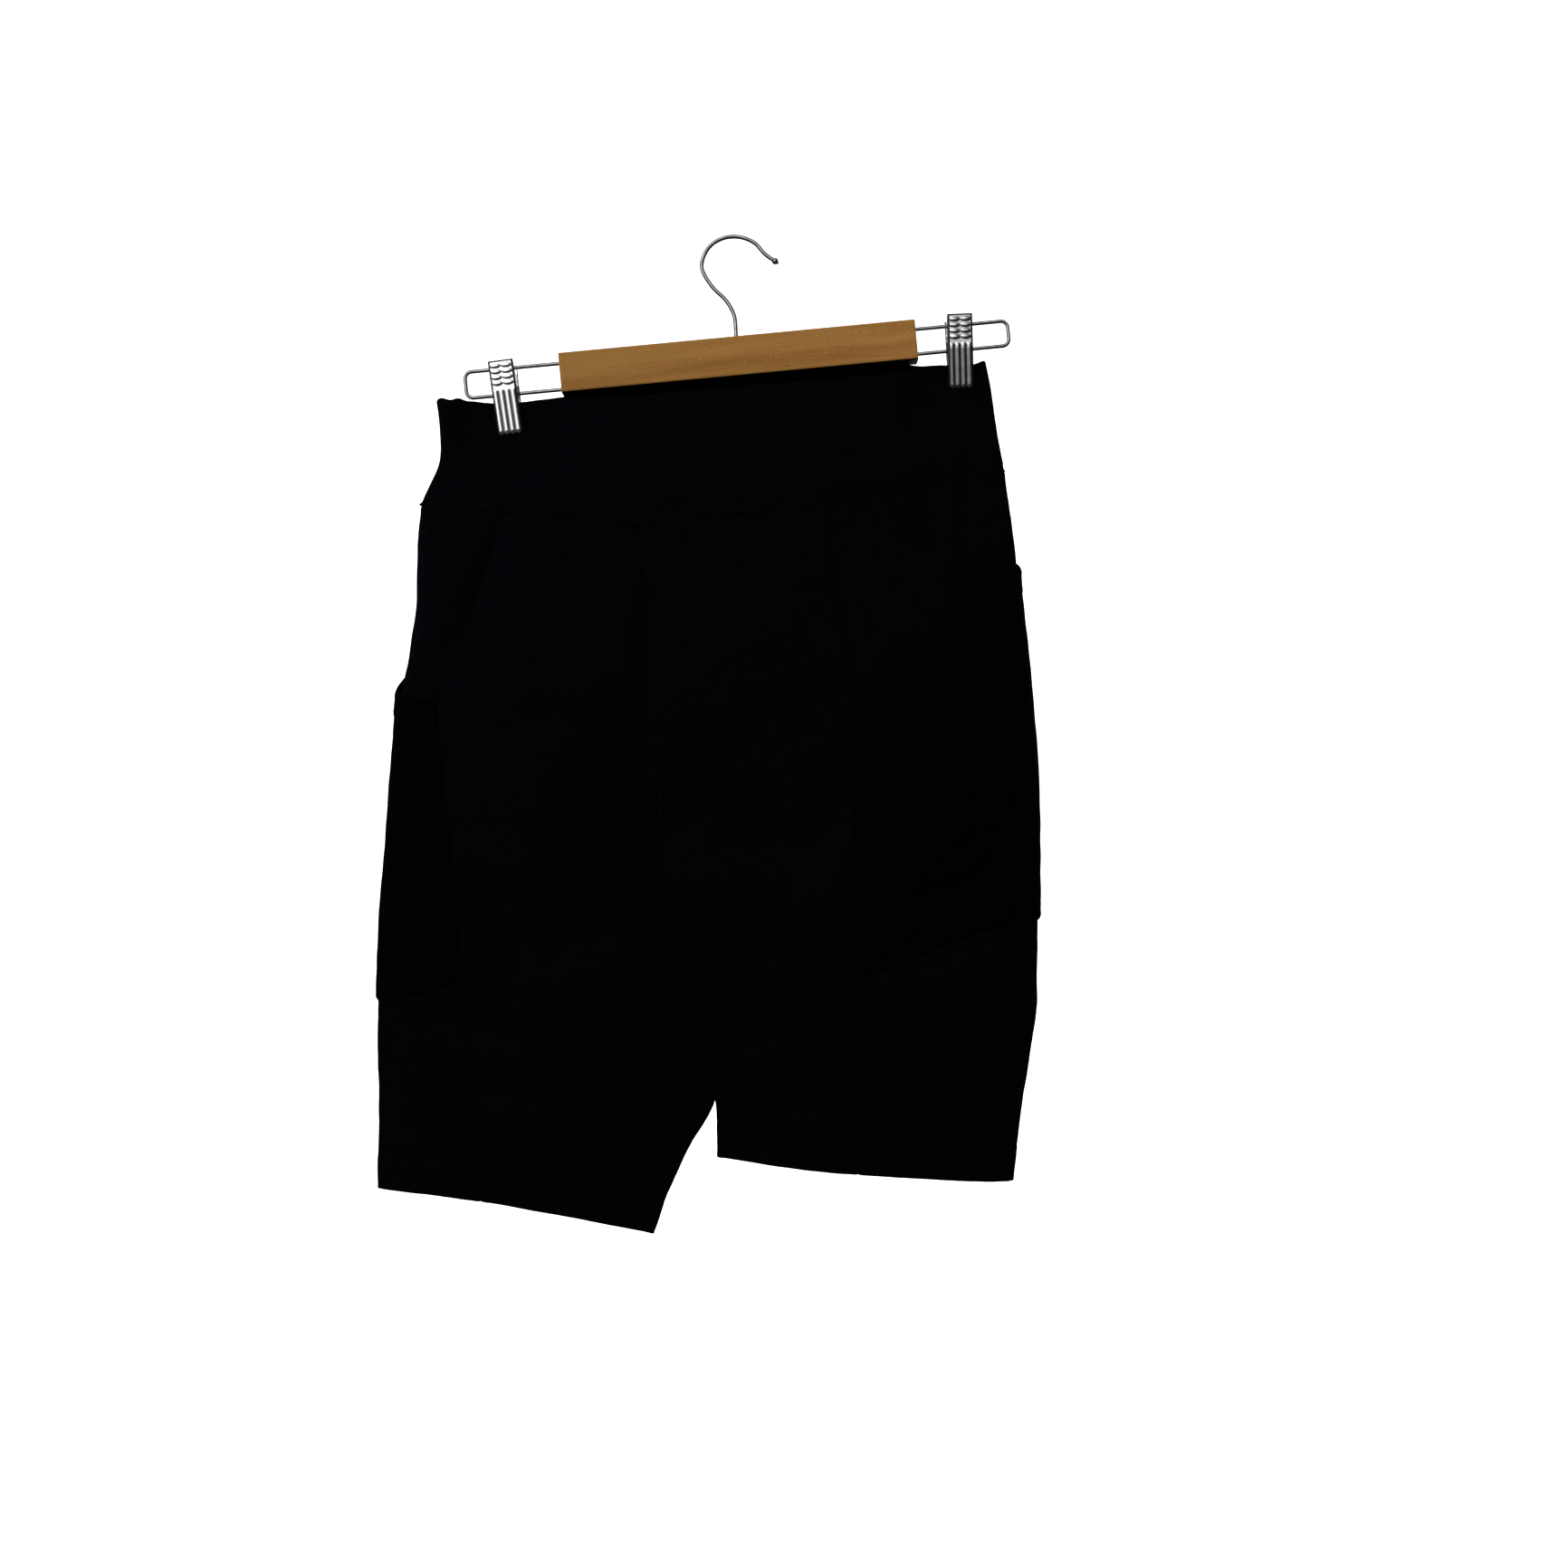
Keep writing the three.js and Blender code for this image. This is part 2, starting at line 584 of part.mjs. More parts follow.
// Wire loop in the bar's frame: out of the bar, round the end and back into it.
function loopGeometry(side) {
  const end = handed[side];
  const { reach, top, bottom } = LOOPS[side];
  const start = end * (BAR.long / 2 - LOOP.socket);
  const far = end * (BAR.long / 2 + reach - WIRE_RADIUS);
  const turn = far - end * LOOP.corner;
  const at = (x, z) => new THREE.Vector3(x, 0, z);
  const path = new THREE.CurvePath();
  path.add(new THREE.LineCurve3(at(start, top), at(turn, top)));
  path.add(new THREE.QuadraticBezierCurve3(
    at(turn, top),
    at(far, top),
    at(far, top - LOOP.corner),
  ));
  path.add(new THREE.LineCurve3(at(far, top - LOOP.corner), at(far, bottom + LOOP.corner)));
  path.add(new THREE.QuadraticBezierCurve3(
    at(far, bottom + LOOP.corner),
    at(far, bottom),
    at(turn, bottom),
  ));
  path.add(new THREE.LineCurve3(at(turn, bottom), at(start, bottom)));
  return tube(path, WIRE_RADIUS, 56, 8);
}

// Hook, in the object's frame: from its socket in the bar, up, round to the left and over to a ball.
const HOOK_ROUTE = table(
  ['x', 'z'],
  [0.65, -62],
  [-0.6, -49],
  [-5.5, -39.8],
  [-15.5, -29.5],
  [-21.6, -17.2],
  [-17.2, -5.2],
  [-8.2, 0.9],
  [2.2, 1.9],
  [12.2, -1.7],
  [19.4, -9.2],
  [26.2, -14],
);

function hookGeometry() {
  const root = new THREE.Vector3(
    BAR.x - Math.sin(TILT) * (BAR.tall / 2 - HOOK_SOCKET),
    0,
    BAR.z + Math.cos(TILT) * (BAR.tall / 2 - HOOK_SOCKET),
  );
  const points = [root, ...HOOK_ROUTE.map((row) => new THREE.Vector3(row.x, 0, row.z))];
  const wire = toSolid(tube(new THREE.CatmullRomCurve3(points, false, 'centripetal'), HOOK_RADIUS, 56, 8));
  const tip = points.at(-1);
  const ball = toSolid(new THREE.SphereGeometry(HOOK_BALL, 14, 10).translate(tip.x, tip.y, tip.z));
  return toGeometry(wire.add(ball));
}

// Clip jaw about its pin. face is -1 for the front jaw and 1 for the back one. The plate leans in to
// grip the cloth, and its two ears reach back to the pin between the wires.
function jawGeometry(face) {
  const grip = PINCH_DEPTH + BAND_WALL / 2 + GAP;
  const out = (y) => face * y;
  const plate = new THREE.Shape([
    new THREE.Vector2(out(CLIP.topY), CLIP.top),
    new THREE.Vector2(out(CLIP.topY - CLIP.plate), CLIP.top),
    new THREE.Vector2(out(CLIP.bendY - CLIP.plate), CLIP.bend),
    new THREE.Vector2(out(grip), CLIP.tip + CLIP.pad),
    new THREE.Vector2(out(grip), CLIP.tip),
    new THREE.Vector2(out(grip + CLIP.plate), CLIP.tip),
    new THREE.Vector2(out(CLIP.bendY), CLIP.bend),
  ]);
  let jaw = toSolid(slab(plate, CLIP.wide));
  const inset = face < 0 ? EAR.wall / 2 : EAR.wall * 1.5 + GAP;
  const root = out(CLIP.bendY - CLIP.plate / 2);
  const ear = new THREE.Shape();
  ear.moveTo(root, -EAR.tall / 2 + 1);
  ear.lineTo(0, -EAR.nose);
  ear.absarc(0, 0, EAR.nose, -Math.PI / 2, Math.PI / 2, face > 0);
  ear.lineTo(root, EAR.tall / 2);
  ear.holes.push(new THREE.Path().absarc(0, 0, PIN_RADIUS + GAP, 0, Math.PI * 2));
  for (const side of [-1, 1]) {
    const flange = slab(ear, EAR.wall).translate(side * (CLIP.wide / 2 - inset), 0, 0);
    jaw = jaw.add(toSolid(flange));
  }
  return toGeometry(jaw);
}

function pinGeometry() {
  const reach = new THREE.Vector3(CLIP.wide / 2, 0, 0);
  return rod(reach.clone().negate(), reach, PIN_RADIUS, 12);
}

function springGeometry() {
  const bore = PIN_RADIUS + GAP;
  const ring = [
    new THREE.Vector2(bore, -SPRING.long / 2),
    new THREE.Vector2(SPRING.radius, -SPRING.long / 2),
    new THREE.Vector2(SPRING.radius, SPRING.long / 2),
    new THREE.Vector2(bore, SPRING.long / 2),
    new THREE.Vector2(bore, -SPRING.long / 2),
  ];
  return new THREE.LatheGeometry(ring, 16).rotateZ(Math.PI / 2);
}

// ---------------------------------------------------------------- materials and assembly

const finish = {
  jersey: new THREE.MeshStandardMaterial({ color: '#0b0c10', roughness: 0.85, metalness: 0 }),
  wood: new THREE.MeshStandardMaterial({ color: '#92693a', roughness: 0.6, metalness: 0 }),
  wire: new THREE.MeshStandardMaterial({ color: '#b9b9b6', roughness: 0.25, metalness: 1 }),
  nickel: new THREE.MeshStandardMaterial({ color: '#dcdcd8', roughness: 0.2, metalness: 1 }),
};

function part(name, geometry, material) {
  const mesh = new THREE.Mesh(geometry, material.clone());
  mesh.name = name;
  return mesh;
}

const shorts = new THREE.Group();
shorts.add(part('waistband_front', bandHalf(false), finish.jersey));
shorts.add(part('waistband_back', bandHalf(true), finish.jersey));
for (const half of ['left', 'right']) {
  for (const name of ['front', 'side', 'back']) {
    shorts.add(part(`${name}_panel_${half}`, panel(half, name), finish.jersey));
  }
  shorts.add(part(`pocket_${half}`, pocket(half), finish.jersey));
}

const frame = new THREE.Group();
frame.position.set(BAR.x, 0, BAR.z);
frame.rotation.y = -TILT;
frame.add(part('hanger_bar', barGeometry(), finish.wood));
frame.add(part('wire_loop_left', loopGeometry('left'), finish.wire));
frame.add(part('wire_loop_right', loopGeometry('right'), finish.wire));

const hanger = new THREE.Group();
hanger.add(frame, part('hanger_hook', hookGeometry(), finish.wire));
for (const [side, place] of Object.entries(CLIPS)) {
  const clip = new THREE.Group();
  clip.position.set(place.x, 0, place.z);
  clip.rotation.y = -place.lean;
  clip.add(part(`clip_front_${side}`, jawGeometry(-1), finish.nickel));
  clip.add(part(`clip_back_${side}`, jawGeometry(1), finish.nickel));
  clip.add(part(`clip_pin_${side}`, pinGeometry(), finish.nickel));
  clip.add(part(`clip_spring_${side}`, springGeometry(), finish.wire));
  hanger.add(clip);
}

const model = new THREE.Group();
model.add(shorts, hanger);

export default model;
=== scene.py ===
# Visual model of high-waisted athletic shorts on the wood and wire clip hanger that holds them.
# Lengths are millimetres until a mesh is made. +Z is up, the front is towards -Y, and the origin is
# the inside top of the hook.
import math

import bpy
import numpy as np
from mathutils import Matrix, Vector


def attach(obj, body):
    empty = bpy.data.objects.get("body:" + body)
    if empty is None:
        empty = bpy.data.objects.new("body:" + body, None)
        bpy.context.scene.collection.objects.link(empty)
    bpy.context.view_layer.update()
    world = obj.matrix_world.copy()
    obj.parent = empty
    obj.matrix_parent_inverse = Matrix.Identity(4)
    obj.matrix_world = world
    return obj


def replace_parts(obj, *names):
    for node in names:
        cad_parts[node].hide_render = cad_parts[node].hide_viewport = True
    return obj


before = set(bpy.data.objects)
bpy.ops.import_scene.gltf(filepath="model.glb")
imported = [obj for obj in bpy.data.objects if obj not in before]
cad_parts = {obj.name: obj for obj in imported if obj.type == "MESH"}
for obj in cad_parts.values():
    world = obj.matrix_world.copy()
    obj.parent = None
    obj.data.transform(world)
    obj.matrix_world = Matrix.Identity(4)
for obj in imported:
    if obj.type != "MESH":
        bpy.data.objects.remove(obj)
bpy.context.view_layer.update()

MM = 0.001
ROUND_TURN = 2 * math.pi

# ---------------------------------------------------------------- sizes shared with the solids

TILT = math.radians(5.4)
BAR = {"x": 2.2, "z": -77.0, "long": 230.8, "tall": 25.6, "deep": 16}
WIRE_RADIUS = 1.25
LOOP = {"corner": 4.4, "socket": 7}
LOOPS = {
    "left": {"reach": 63.4, "top": 7.8, "bottom": -9.2},
    "right": {"reach": 61.5, "top": 8.1, "bottom": -8.0},
}
HOOK_RADIUS = 1.35
HOOK_SOCKET = 9
CLIP = {"wide": 16.2, "top": 12.2, "bend": -5, "tip": -35, "top_y": 9, "bend_y": 7.6, "tip_y": 3.75}
EAR = {"wall": 0.8, "tall": 12, "nose": 3.6}
PIN_HEAD = ((-0.2, 1.2), (-0.2, 1.9), (0.25, 1.85), (0.5, 1.3), (0.6, 0.3))  # reach past the jaw, and radius
CLIPS = {
    "left": {"x": -149.3, "z": -92.4, "lean": math.radians(7.4)},
    "right": {"x": 145.1, "z": -62.6, "lean": math.radians(2.2)},
}
PINCH_DEPTH = 1.35
PINCH = {"flat": 24, "fade": 46, "below": 4, "release": 48}

CROTCH = 222
LEG_TOP = 226
HEM = 445
ROUND = 2.6  # fullness of a section: 2 is an ellipse, more is flatter with blunter sides
WEDGE = 0.45  # share of a half's width over which it opens out from the crotch or inseam
CREASE = 1.6  # radius of the fold at the inseam
CROTCH_DEPTH = 0.13  # how far apart front and back stay at the crotch, as a share of the depth
LEAN_REACH = 0.55  # share of a half's width that leans with its inseam
FOLD_ROOM = 8  # a fold is at its full depth where the section is at least this deep
WAVE_FADE = 60
HALVINGS = 24
HEM_RISE = {"left": 5.5, "right": 0}
HEM_FADE = 60
FOLD_SHARE = 0.5  # share of a side panel that lies in front of the outer fold
HANDED = {"left": -1, "right": 1}

# The cloth itself. The solids' walls are thicker at the panels, 1.4, and at the pockets, 1.2.
PANEL_THICK = 1.1
BAND_THICK = 2.0
POCKET_THICK = 1.0


def table(columns, *rows):
    return dict(zip(columns.split(), np.array(rows, float).T))


# Where the centre seams run, by the drop below the waist seam. open is 1 where one hollow joins the halves.
CENTRE = table(
    "at inX inZ backX backZ open",
    (0, -61.6, -187.0, 31, -160, 1),
    (30, -60.2, -209, 27, -191, 1),
    (70, -56.5, -236, 18, -231, 1),
    (105, -51.5, -264, 6, -267, 1),
    (135, -49.6, -294, -8, -299, 0.96),
    (165, -49.0, -326, -24, -331, 0.82),
    (195, -49.2, -359, -40, -364, 0.48),
    (CROTCH, -50.2, -389.6, -50.2, -389.6, 0),
)
INSEAM = {"left": table(
    "at x z lean",
    (LEG_TOP, -47.5, -393, 3),
    (240, -36, -408, 7.5),
    (262, -21, -431, 10),
    (290, -9, -459, 11),
    (320, -5, -490, 11),
    (350, -6, -522, 10),
    (385, -13.5, -560, 7),
    (410, -29.4, -588, 5),
    (430, -43.1, -617, 3),
    (HEM, -52.8, -643.8, 2),
), "right": table(
    "at x z lean",
    (LEG_TOP, -52.5, -393, -3),
    (240, -44, -408, -5),
    (262, -34.9, -430, -6),
    (290, -26.6, -457, -6),
    (320, -21.3, -489, -6),
    (350, -16, -518, -6),
    (385, -13.2, -551, -5),
    (410, -11, -572, -4),
    (430, -10.6, -584.5, -3),
    (HEM, -11, -592.9, -3),
)}
SIDE = {"left": table(
    "at outX outZ seamX rearX deep",
    (0, -203.1, -172.0, -178, -92, 13),
    (30, -205.2, -198, -181, -93, 16),
    (70, -206.0, -234, -185, -94, 19),
    (105, -210.8, -268, -190, -96, 21.5),
    (135, -215.8, -300, -191, -98, 23),
    (165, -218.5, -333, -188, -100, 23.5),
    (195, -221.1, -366, -185, -103, 23),
    (CROTCH, -223.6, -395, -182, -106, 21),
    (262, -227.5, -434, -178, -115, 18),
    (320, -230.6, -493, -174, -132, 15),
    (385, -230.6, -552, -169, -150, 13),
    (430, -230.5, -594, -165, -163, 12),
    (HEM, -230.6, -613.8, -163, -168, 12),
), "right": table(
    "at outX outZ seamX rearX deep",
    (0, 173.7, -150.2, 59.3, 148, 13),
    (30, 179.1, -183.5, 60.5, 151, 16),
    (70, 183.0, -227, 66, 155, 19),
    (105, 187.2, -264, 71.4, 158, 21.5),
    (135, 190.4, -298, 75.4, 161, 23),
    (165, 193.2, -332, 76.6, 163, 23.5),
    (195, 195.0, -365, 76.6, 165, 23),
    (CROTCH, 195.4, -395, 76.6, 165, 22.5),
    (262, 195.8, -437.5, 76.6, 163, 22),
    (320, 194.8, -495, 76.6, 158, 22),
    (385, 186.1, -556, 77.5, 150, 22),
    (430, 181.4, -595, 78.5, 146, 22),
    (HEM, 179.6, -608.6, 78.8, 144, 22),
)}
SEAM_WAVES = table(
    "x wide rise",
    (-36, 15, 6),
    (38, 42, -4.5),
    (110, 17, -3),
)
POCKET = {"left": table(
    "at mouth base puff",
    (0, 137, 306, 0),
    (0.1, 134, 312, 1.5),
    (0.3, 131, 318, 3),
    (0.5, 127, 319, 2),
    (0.68, 98, 311, 5.5),
    (0.83, 60, 300, 5),
    (1, 42, 290, 0),
), "right": table(
    "at mouth base puff",
    (0, 121, 303, 0),
    (0.04, 128, 301, 2.5),
    (0.1, 126, 291, 5),
    (0.15, 114, 283, 6),
    (0.22, 102, 274, 6),
    (0.28, 84, 270, 4.5),
    (0.39, 67, 266, 2),
    (0.5, 58, 264, 0.6),
    (0.75, 50, 260, 2.5),
    (1, 46, 258, 0),
)}
BAND_SIDES = table(
    "at leftX leftZ rightX rightZ deep",
    (0, -192.4, -110.7, 161.2, -81.6, 6.5),
    (0.3, -190.1, -127, 164.9, -100, 8),
    (0.6, -190.4, -147, 168.4, -122.5, 10),
    (0.8, -196.6, -160, 171, -136.5, 11.5),
    (1, -203.1, -172.0, 173.7, -150.2, 13),
)
BAND_END = 4
FRONT_SAG = 2.2
SAG_START = 40
# The back of the band bulges behind the bar and stands a little above its underside.
BEHIND = {"left": -124, "left_ramp": 24, "right": 125, "right_ramp": 22, "rise": 3, "deep": 14.5}
CORNERS = table(
    "x wide rise",
    (-186, 24, 6),
    (-124, 18, 1.8),
    (127, 15, 3.2),
    (163, 9, 2.4),
)
# The hook's middle line, x and z, from the bar to the tip.
HOOK_ROUTE = [
    (0.65, -62), (-0.6, -49), (-5.5, -39.8), (-15.5, -29.5), (-21.6, -17.2), (-17.2, -5.2),
    (-8.2, 0.9), (2.2, 1.9), (12.2, -1.7), (19.4, -9.2), (26.2, -14),
]

# Large folds, as in the solids: soft troughs (depth above zero) and ridges along lines.
FOLDS = {"front": table(
    "x1 z1 x2 z2 wide depth",
    (-147, -178, -174, -262, 11, 4),
    (-55, -240, -52, -340, 7, 3.5),
    (-70, -330, -90, -440, 26, 5),
    (123, -160, 125, -202, 7, 2.5),
    (148, -215, 160, -262, 8, 3),
    (60, -418, 42, -476, 16, -3),
    (96, -484, 168, -470, 10, -3),
), "back": table(
    "x1 z1 x2 z2 wide depth",
    (25, -200, -20, -330, 9, 4),
    (140, -150, 128, -260, 12, 4),
    (-140, -172, -120, -250, 12, 3.5),
    (-70, -420, -150, -460, 16, 4),
    (60, -400, 130, -440, 16, 4),
)}
# Creases of the cloth itself, which die away towards the far end of their line.
CREASES = {"front": table(
    "x1 z1 x2 z2 wide depth",
    # from the left clip
    (-150, -126, -166, -196, 5, 2.0),
    (-143, -128, -128, -205, 6, 1.6),
    (-158, -122, -188, -168, 6, 1.9),
    (-149, -182, -177, -272, 5, 3.0),
    (-134, -178, -150, -268, 6, -1.8),
    (-197, -180, -201, -272, 6, -3.0),
    # from the right clip
    (149, -98, 151, -208, 3.6, 2.8),
    (140, -98, 125.6, -172, 4.5, 1.8),
    (125.6, -158, 126, -206, 3.4, 2.4),
    (156, -96, 166, -142, 4, 1.7),
    (137, -164, 138, -220, 4.5, -1.8),
    (147, -224, 161, -274, 6, 2.4),
    (108, -172, 112, -240, 6, 1.4),
    # along and under the waistband
    (-70, -112, -84, -170, 8, 1.2),
    (18, -104, 6, -168, 9, 1.1),
    (84, -98, 92, -158, 7, 1.3),
    (-104, -186, -108, -236, 5, 1.4),
    (-28, -184, -24, -230, 5, 1.2),
    (14, -182, 12, -218, 4, 1.1),
    (40, -180, 44, -240, 5, -1.3),
    (84, -172, 82, -210, 4, 1.3),
    # down the centre front and into the crotch
    (-60, -236, -60, -350, 6, 2.6),
    (-64, -296, -74, -404, 12, 3.2),
    (-58, -392, -50, -500, 16, 4.5),
    (-88, -380, -96, -470, 20, 3.0),
    (-60, -384, -118, -350, 7, 2.2),
    (-58, -398, -134, -384, 8, 1.9),
    (-42, -384, 8, -350, 7, 1.8),
    (-34, -402, 26, -392, 8, 2.2),
    (-45, -366, -30, -314, 5.5, 1.4),
    # across the left leg
    (-196, -504, -126, -520, 6.5, 2.0),
    (-184, -546, -104, -562, 8, 1.8),
    (-86, -466, -34, -520, 8, 2.4),
    (-78, -536, -34, -570, 7, 1.7),
    (-216, -516, -207, -592, 6, -1.6),
    (-120, -602, -60, -630, 7, -1.9),
    (-152, -440, -112, -476, 9, 1.6),
    # across the right leg
    (-8, -446, 32, -428, 7, 1.8),
    (4, -520, 60, -500, 8, 2.0),
    (14, -562, 68, -548, 7, 1.5),
    (94, -506, 162, -516, 7, 1.9),
    (106, -554, 176, -540, 8, 1.8),
    (77, -372, 60, -426, 6.5, -2.4),
    (58, -418, 72, -456, 6.5, -2.0),
    (40, -396, 30, -452, 8, 1.7),
    # the right pocket
    (134, -278, 141, -366, 4.5, 2.2),
    (108, -302, 103, -388, 6, 1.5),
    (168, -252, 173, -346, 5.5, 1.8),
    (118, -424, 172, -406, 7, 1.6),
    (90, -330, 124, -352, 8, -1.4),
), "back": table(
    "x1 z1 x2 z2 wide depth",
    (-148, -128, -160, -198, 5.5, 2.0),
    (-136, -126, -118, -194, 6, 1.7),
    (150, -98, 158, -196, 4.5, 2.4),
    (136, -100, 114, -180, 6, 1.9),
    (60, -104, 66, -160, 8, 1.2),
    (-60, -108, -70, -166, 8, 1.3),
    (-100, -178, -96, -236, 5, 1.4),
    (-30, -170, -36, -238, 5, 1.5),
    (56, -164, 61, -228, 5, 1.3),
    (96, -158, 93, -210, 5, 1.4),
    (-56, -396, -130, -376, 7, 2.6),
    (-42, -396, 38, -380, 7, 2.5),
    (-62, -410, -156, -412, 8, 1.9),
    (-28, -412, 66, -416, 8, 2.1),
    (-48, -352, -96, -316, 6, 1.7),
    (-24, -342, 20, -302, 6, 1.8),
    (-204, -498, -118, -522, 7, 2.0),
    (-192, -566, -96, -592, 8, 1.9),
    (18, -500, 114, -522, 7, 2.0),
    (38, -572, 134, -556, 8, 1.8),
    (150, -420, 184, -526, 6.5, 1.8),
    (60, -440, 20, -476, 8, -1.6),
    (-170, -440, -128, -470, 8, -1.5),
)}

# ---------------------------------------------------------------- small functions


def mix(a, b, t):
    return a + (b - a) * t


def clamp(t):
    return np.clip(t, 0, 1)


def smooth(t):
    return clamp(t) ** 2 * (3 - 2 * clamp(t))


def bell(d, wide):
    return np.exp(-((d / wide) ** 2))


def unit(v):
    return v / np.maximum(np.linalg.norm(v, axis=-1, keepdims=True), 1e-12)


def lengths(points, axis=0):
    """The length along each line of points, up to each point."""
    steps = np.linalg.norm(np.diff(points, axis=axis), axis=-1)
    return np.concatenate([np.zeros_like(np.take(steps, [0], axis)), np.cumsum(steps, axis)], axis)


def at_lengths(places, steps, values):
    """The columns of values, read at places along a line whose rows lie at steps."""
    return np.stack([np.interp(places, steps, column) for column in values.T], axis=-1)


def evenly(points, count):
    steps = lengths(points)
    return at_lengths(np.linspace(0, steps[-1], count), steps, points)


def read(rows, column, at):
    """Value of a column at a station, on a smooth curve through the rows."""
    xs, ys = rows["at"], rows[column]
    last = len(xs) - 1
    k = np.arange(last + 1)
    low, high = np.maximum(k - 1, 0), np.minimum(k + 1, last)
    slope = (ys[high] - ys[low]) / (xs[high] - xs[low])
    i = np.clip(np.searchsorted(xs, at, side="right") - 1, 0, last - 1)
    span = xs[i + 1] - xs[i]
    t = clamp((at - xs[i]) / span)
    start = (t - 2 * t**2 + t**3) * span * slope[i]
    end = (t**3 - t**2) * span * slope[i + 1]
    return mix(ys[i], ys[i + 1], 3 * t**2 - 2 * t**3) + start + end


def bumps(rows, x):
    return sum(r * bell(x - c, w) for c, w, r in zip(rows["x"], rows["wide"], rows["rise"]))


def ripple(a, b, seed, long, count=7):
    """Gentle unevenness between -1 and 1, about long from crest to crest."""
    draw = np.random.default_rng(seed)
    turns, phases = draw.uniform(0, ROUND_TURN, (2, count))
    sizes = draw.uniform(0.7, 1.6, count)
    total = 0
    for turn, phase, size in zip(turns, phases, sizes):
        total = total + np.sin(ROUND_TURN * (a * np.cos(turn) + b * np.sin(turn)) / (long * size) + phase)
    return total / count * 1.6


# ---------------------------------------------------------------- the shape of the shorts


def along_line(line, x, z):
    """Share along a fold's line, and how far away it is."""
    x1, z1, x2, z2 = line
    run_x, run_z = x2 - x1, z2 - z1
    along = clamp(((x - x1) * run_x + (z - z1) * run_z) / (run_x**2 + run_z**2))
    return along, np.hypot(x - x1 - along * run_x, z - z1 - along * run_z)


def fold(side, x, z):
    """How far back the folds and creases push the front, or how far forward they push the back."""
    push = 0
    for rows, fades in ((FOLDS[side], False), (CREASES[side], True)):
        for *line, wide, depth in zip(*rows.values()):
            along, away = along_line(line, x, z)
            fade = clamp(np.sin(np.pi * mix(0.12, 1, along))) ** 0.7 if fades else 1
            push = push + depth * bell(away, wide) * fade
    return push if side == "front" else -push


def station(half, at):
    """A half's sizes at a drop below the waist seam: its inner edges, its outer fold and its seams."""
    leg = at > CROTCH
    inseam = INSEAM[half]
    found = {name: read(SIDE[half], name, at) for name in ("outX", "outZ", "seamX", "rearX", "deep")}
    for name, below in (("inX", "x"), ("inZ", "z"), ("backX", "x"), ("backZ", "z")):
        found[name] = np.where(leg, read(inseam, below, at), read(CENTRE, name, at))
    found["open"] = np.where(leg, 0, read(CENTRE, "open", at))
    found["lean"] = np.where(leg, read(inseam, "lean", at), 0)
    return found


def spread(h, is_open):
    return mix((1 - np.cos(np.pi * h)) / 2, np.sin(np.pi * h / 2), is_open)


def waves(x, at, half, share):
    seam = bumps(SEAM_WAVES, x) * (1 - smooth(at / WAVE_FADE))
    return seam + HEM_RISE[half] * np.sin(np.pi * share) * smooth(1 - (HEM - at) / HEM_FADE)


def fullness(s, share, width, leg):
    full = s["deep"] * np.sqrt(1 - share**ROUND)
    wedge = np.sin(np.pi / 2 * clamp(share / WEDGE))
    body = full * mix(np.hypot(wedge, CROTCH_DEPTH) / math.hypot(1, CROTCH_DEPTH), 1, s["open"])
    crease = CREASE * np.sqrt(1 - (1 - clamp(share * width / CREASE)) ** 2)
    thigh = np.hypot(full * wedge, np.where(share < WEDGE, crease * (1 - share / WEDGE), 0))
    return np.where(leg, thigh, body)


def body_point(half, turn, at):
    """The middle surface: turn is 0 at the front's inner edge, 1 at the outer fold, 2 at the back's."""
    s = station(half, at)
    front = turn <= 1
    share = clamp(spread(np.where(front, turn, 2 - turn), s["open"]))
    in_x, in_z = np.where(front, s["inX"], s["backX"]), np.where(front, s["inZ"], s["backZ"])
    x = mix(in_x, s["outX"], share)
    z = mix(in_z, s["outZ"], share) + np.where(front, waves(x, at, half, share), 0)
    reach = fullness(s, share, np.abs(s["outX"] - in_x), at > CROTCH)
    lean = s["lean"] * (1 - smooth(share / LEAN_REACH))
    push = clamp(reach / FOLD_ROOM) * np.where(front, fold("front", x, z), fold("back", x, z))
    return np.stack([x, lean + np.where(front, -reach, reach) + push, z], axis=-1)


def turn_of(half, at, x, back):
    """Where round a half a seam lies, from its place across it."""
    s = station(half, at)
    in_x = s["backX"] if back else s["inX"]
    share = (x - in_x) / (s["outX"] - in_x)
    low, high = np.zeros_like(share), np.ones_like(share)
    for _ in range(HALVINGS):
        middle = (low + high) / 2
        under = spread(middle, s["open"]) < share
        low, high = np.where(under, middle, low), np.where(under, high, middle)
    return 2 - low if back else low


def panel_turn(half, name, u, at):
    """Where round a half a panel's column lies, from its share u across the panel."""
    s = station(half, at)
    seam = turn_of(half, at, s["seamX"], False)
    rear = turn_of(half, at, s["rearX"], True)
    if name == "front":
        return mix(0, seam, u)
    if name == "back":
        return mix(rear, 2, u)
    near = mix(seam, 1, u / FOLD_SHARE)
    far = mix(1, rear, (u - FOLD_SHARE) / (1 - FOLD_SHARE))
    return np.where(u < FOLD_SHARE, near, far)


def clip_pull(x, z):
    """How tightly the clips hold the band flat, from 0 to 1."""
    pulls = []
    for clip in CLIPS.values():
        middle = clip["x"] - math.sin(clip["lean"]) * (z - clip["z"])
        aside = 1 - smooth((np.abs(x - middle) - PINCH["flat"]) / (PINCH["fade"] - PINCH["flat"]))
        below = 1 - smooth((clip["z"] + CLIP["tip"] - PINCH["below"] - z) / PINCH["release"])
        pulls.append(aside * below)
    return np.maximum(*pulls)


def gathers(x):
    """Small puckers of the band's top edge at its left corner."""
    return 0.9 * np.sin((x + 193) / 1.9) * bell(x + 182, 9)


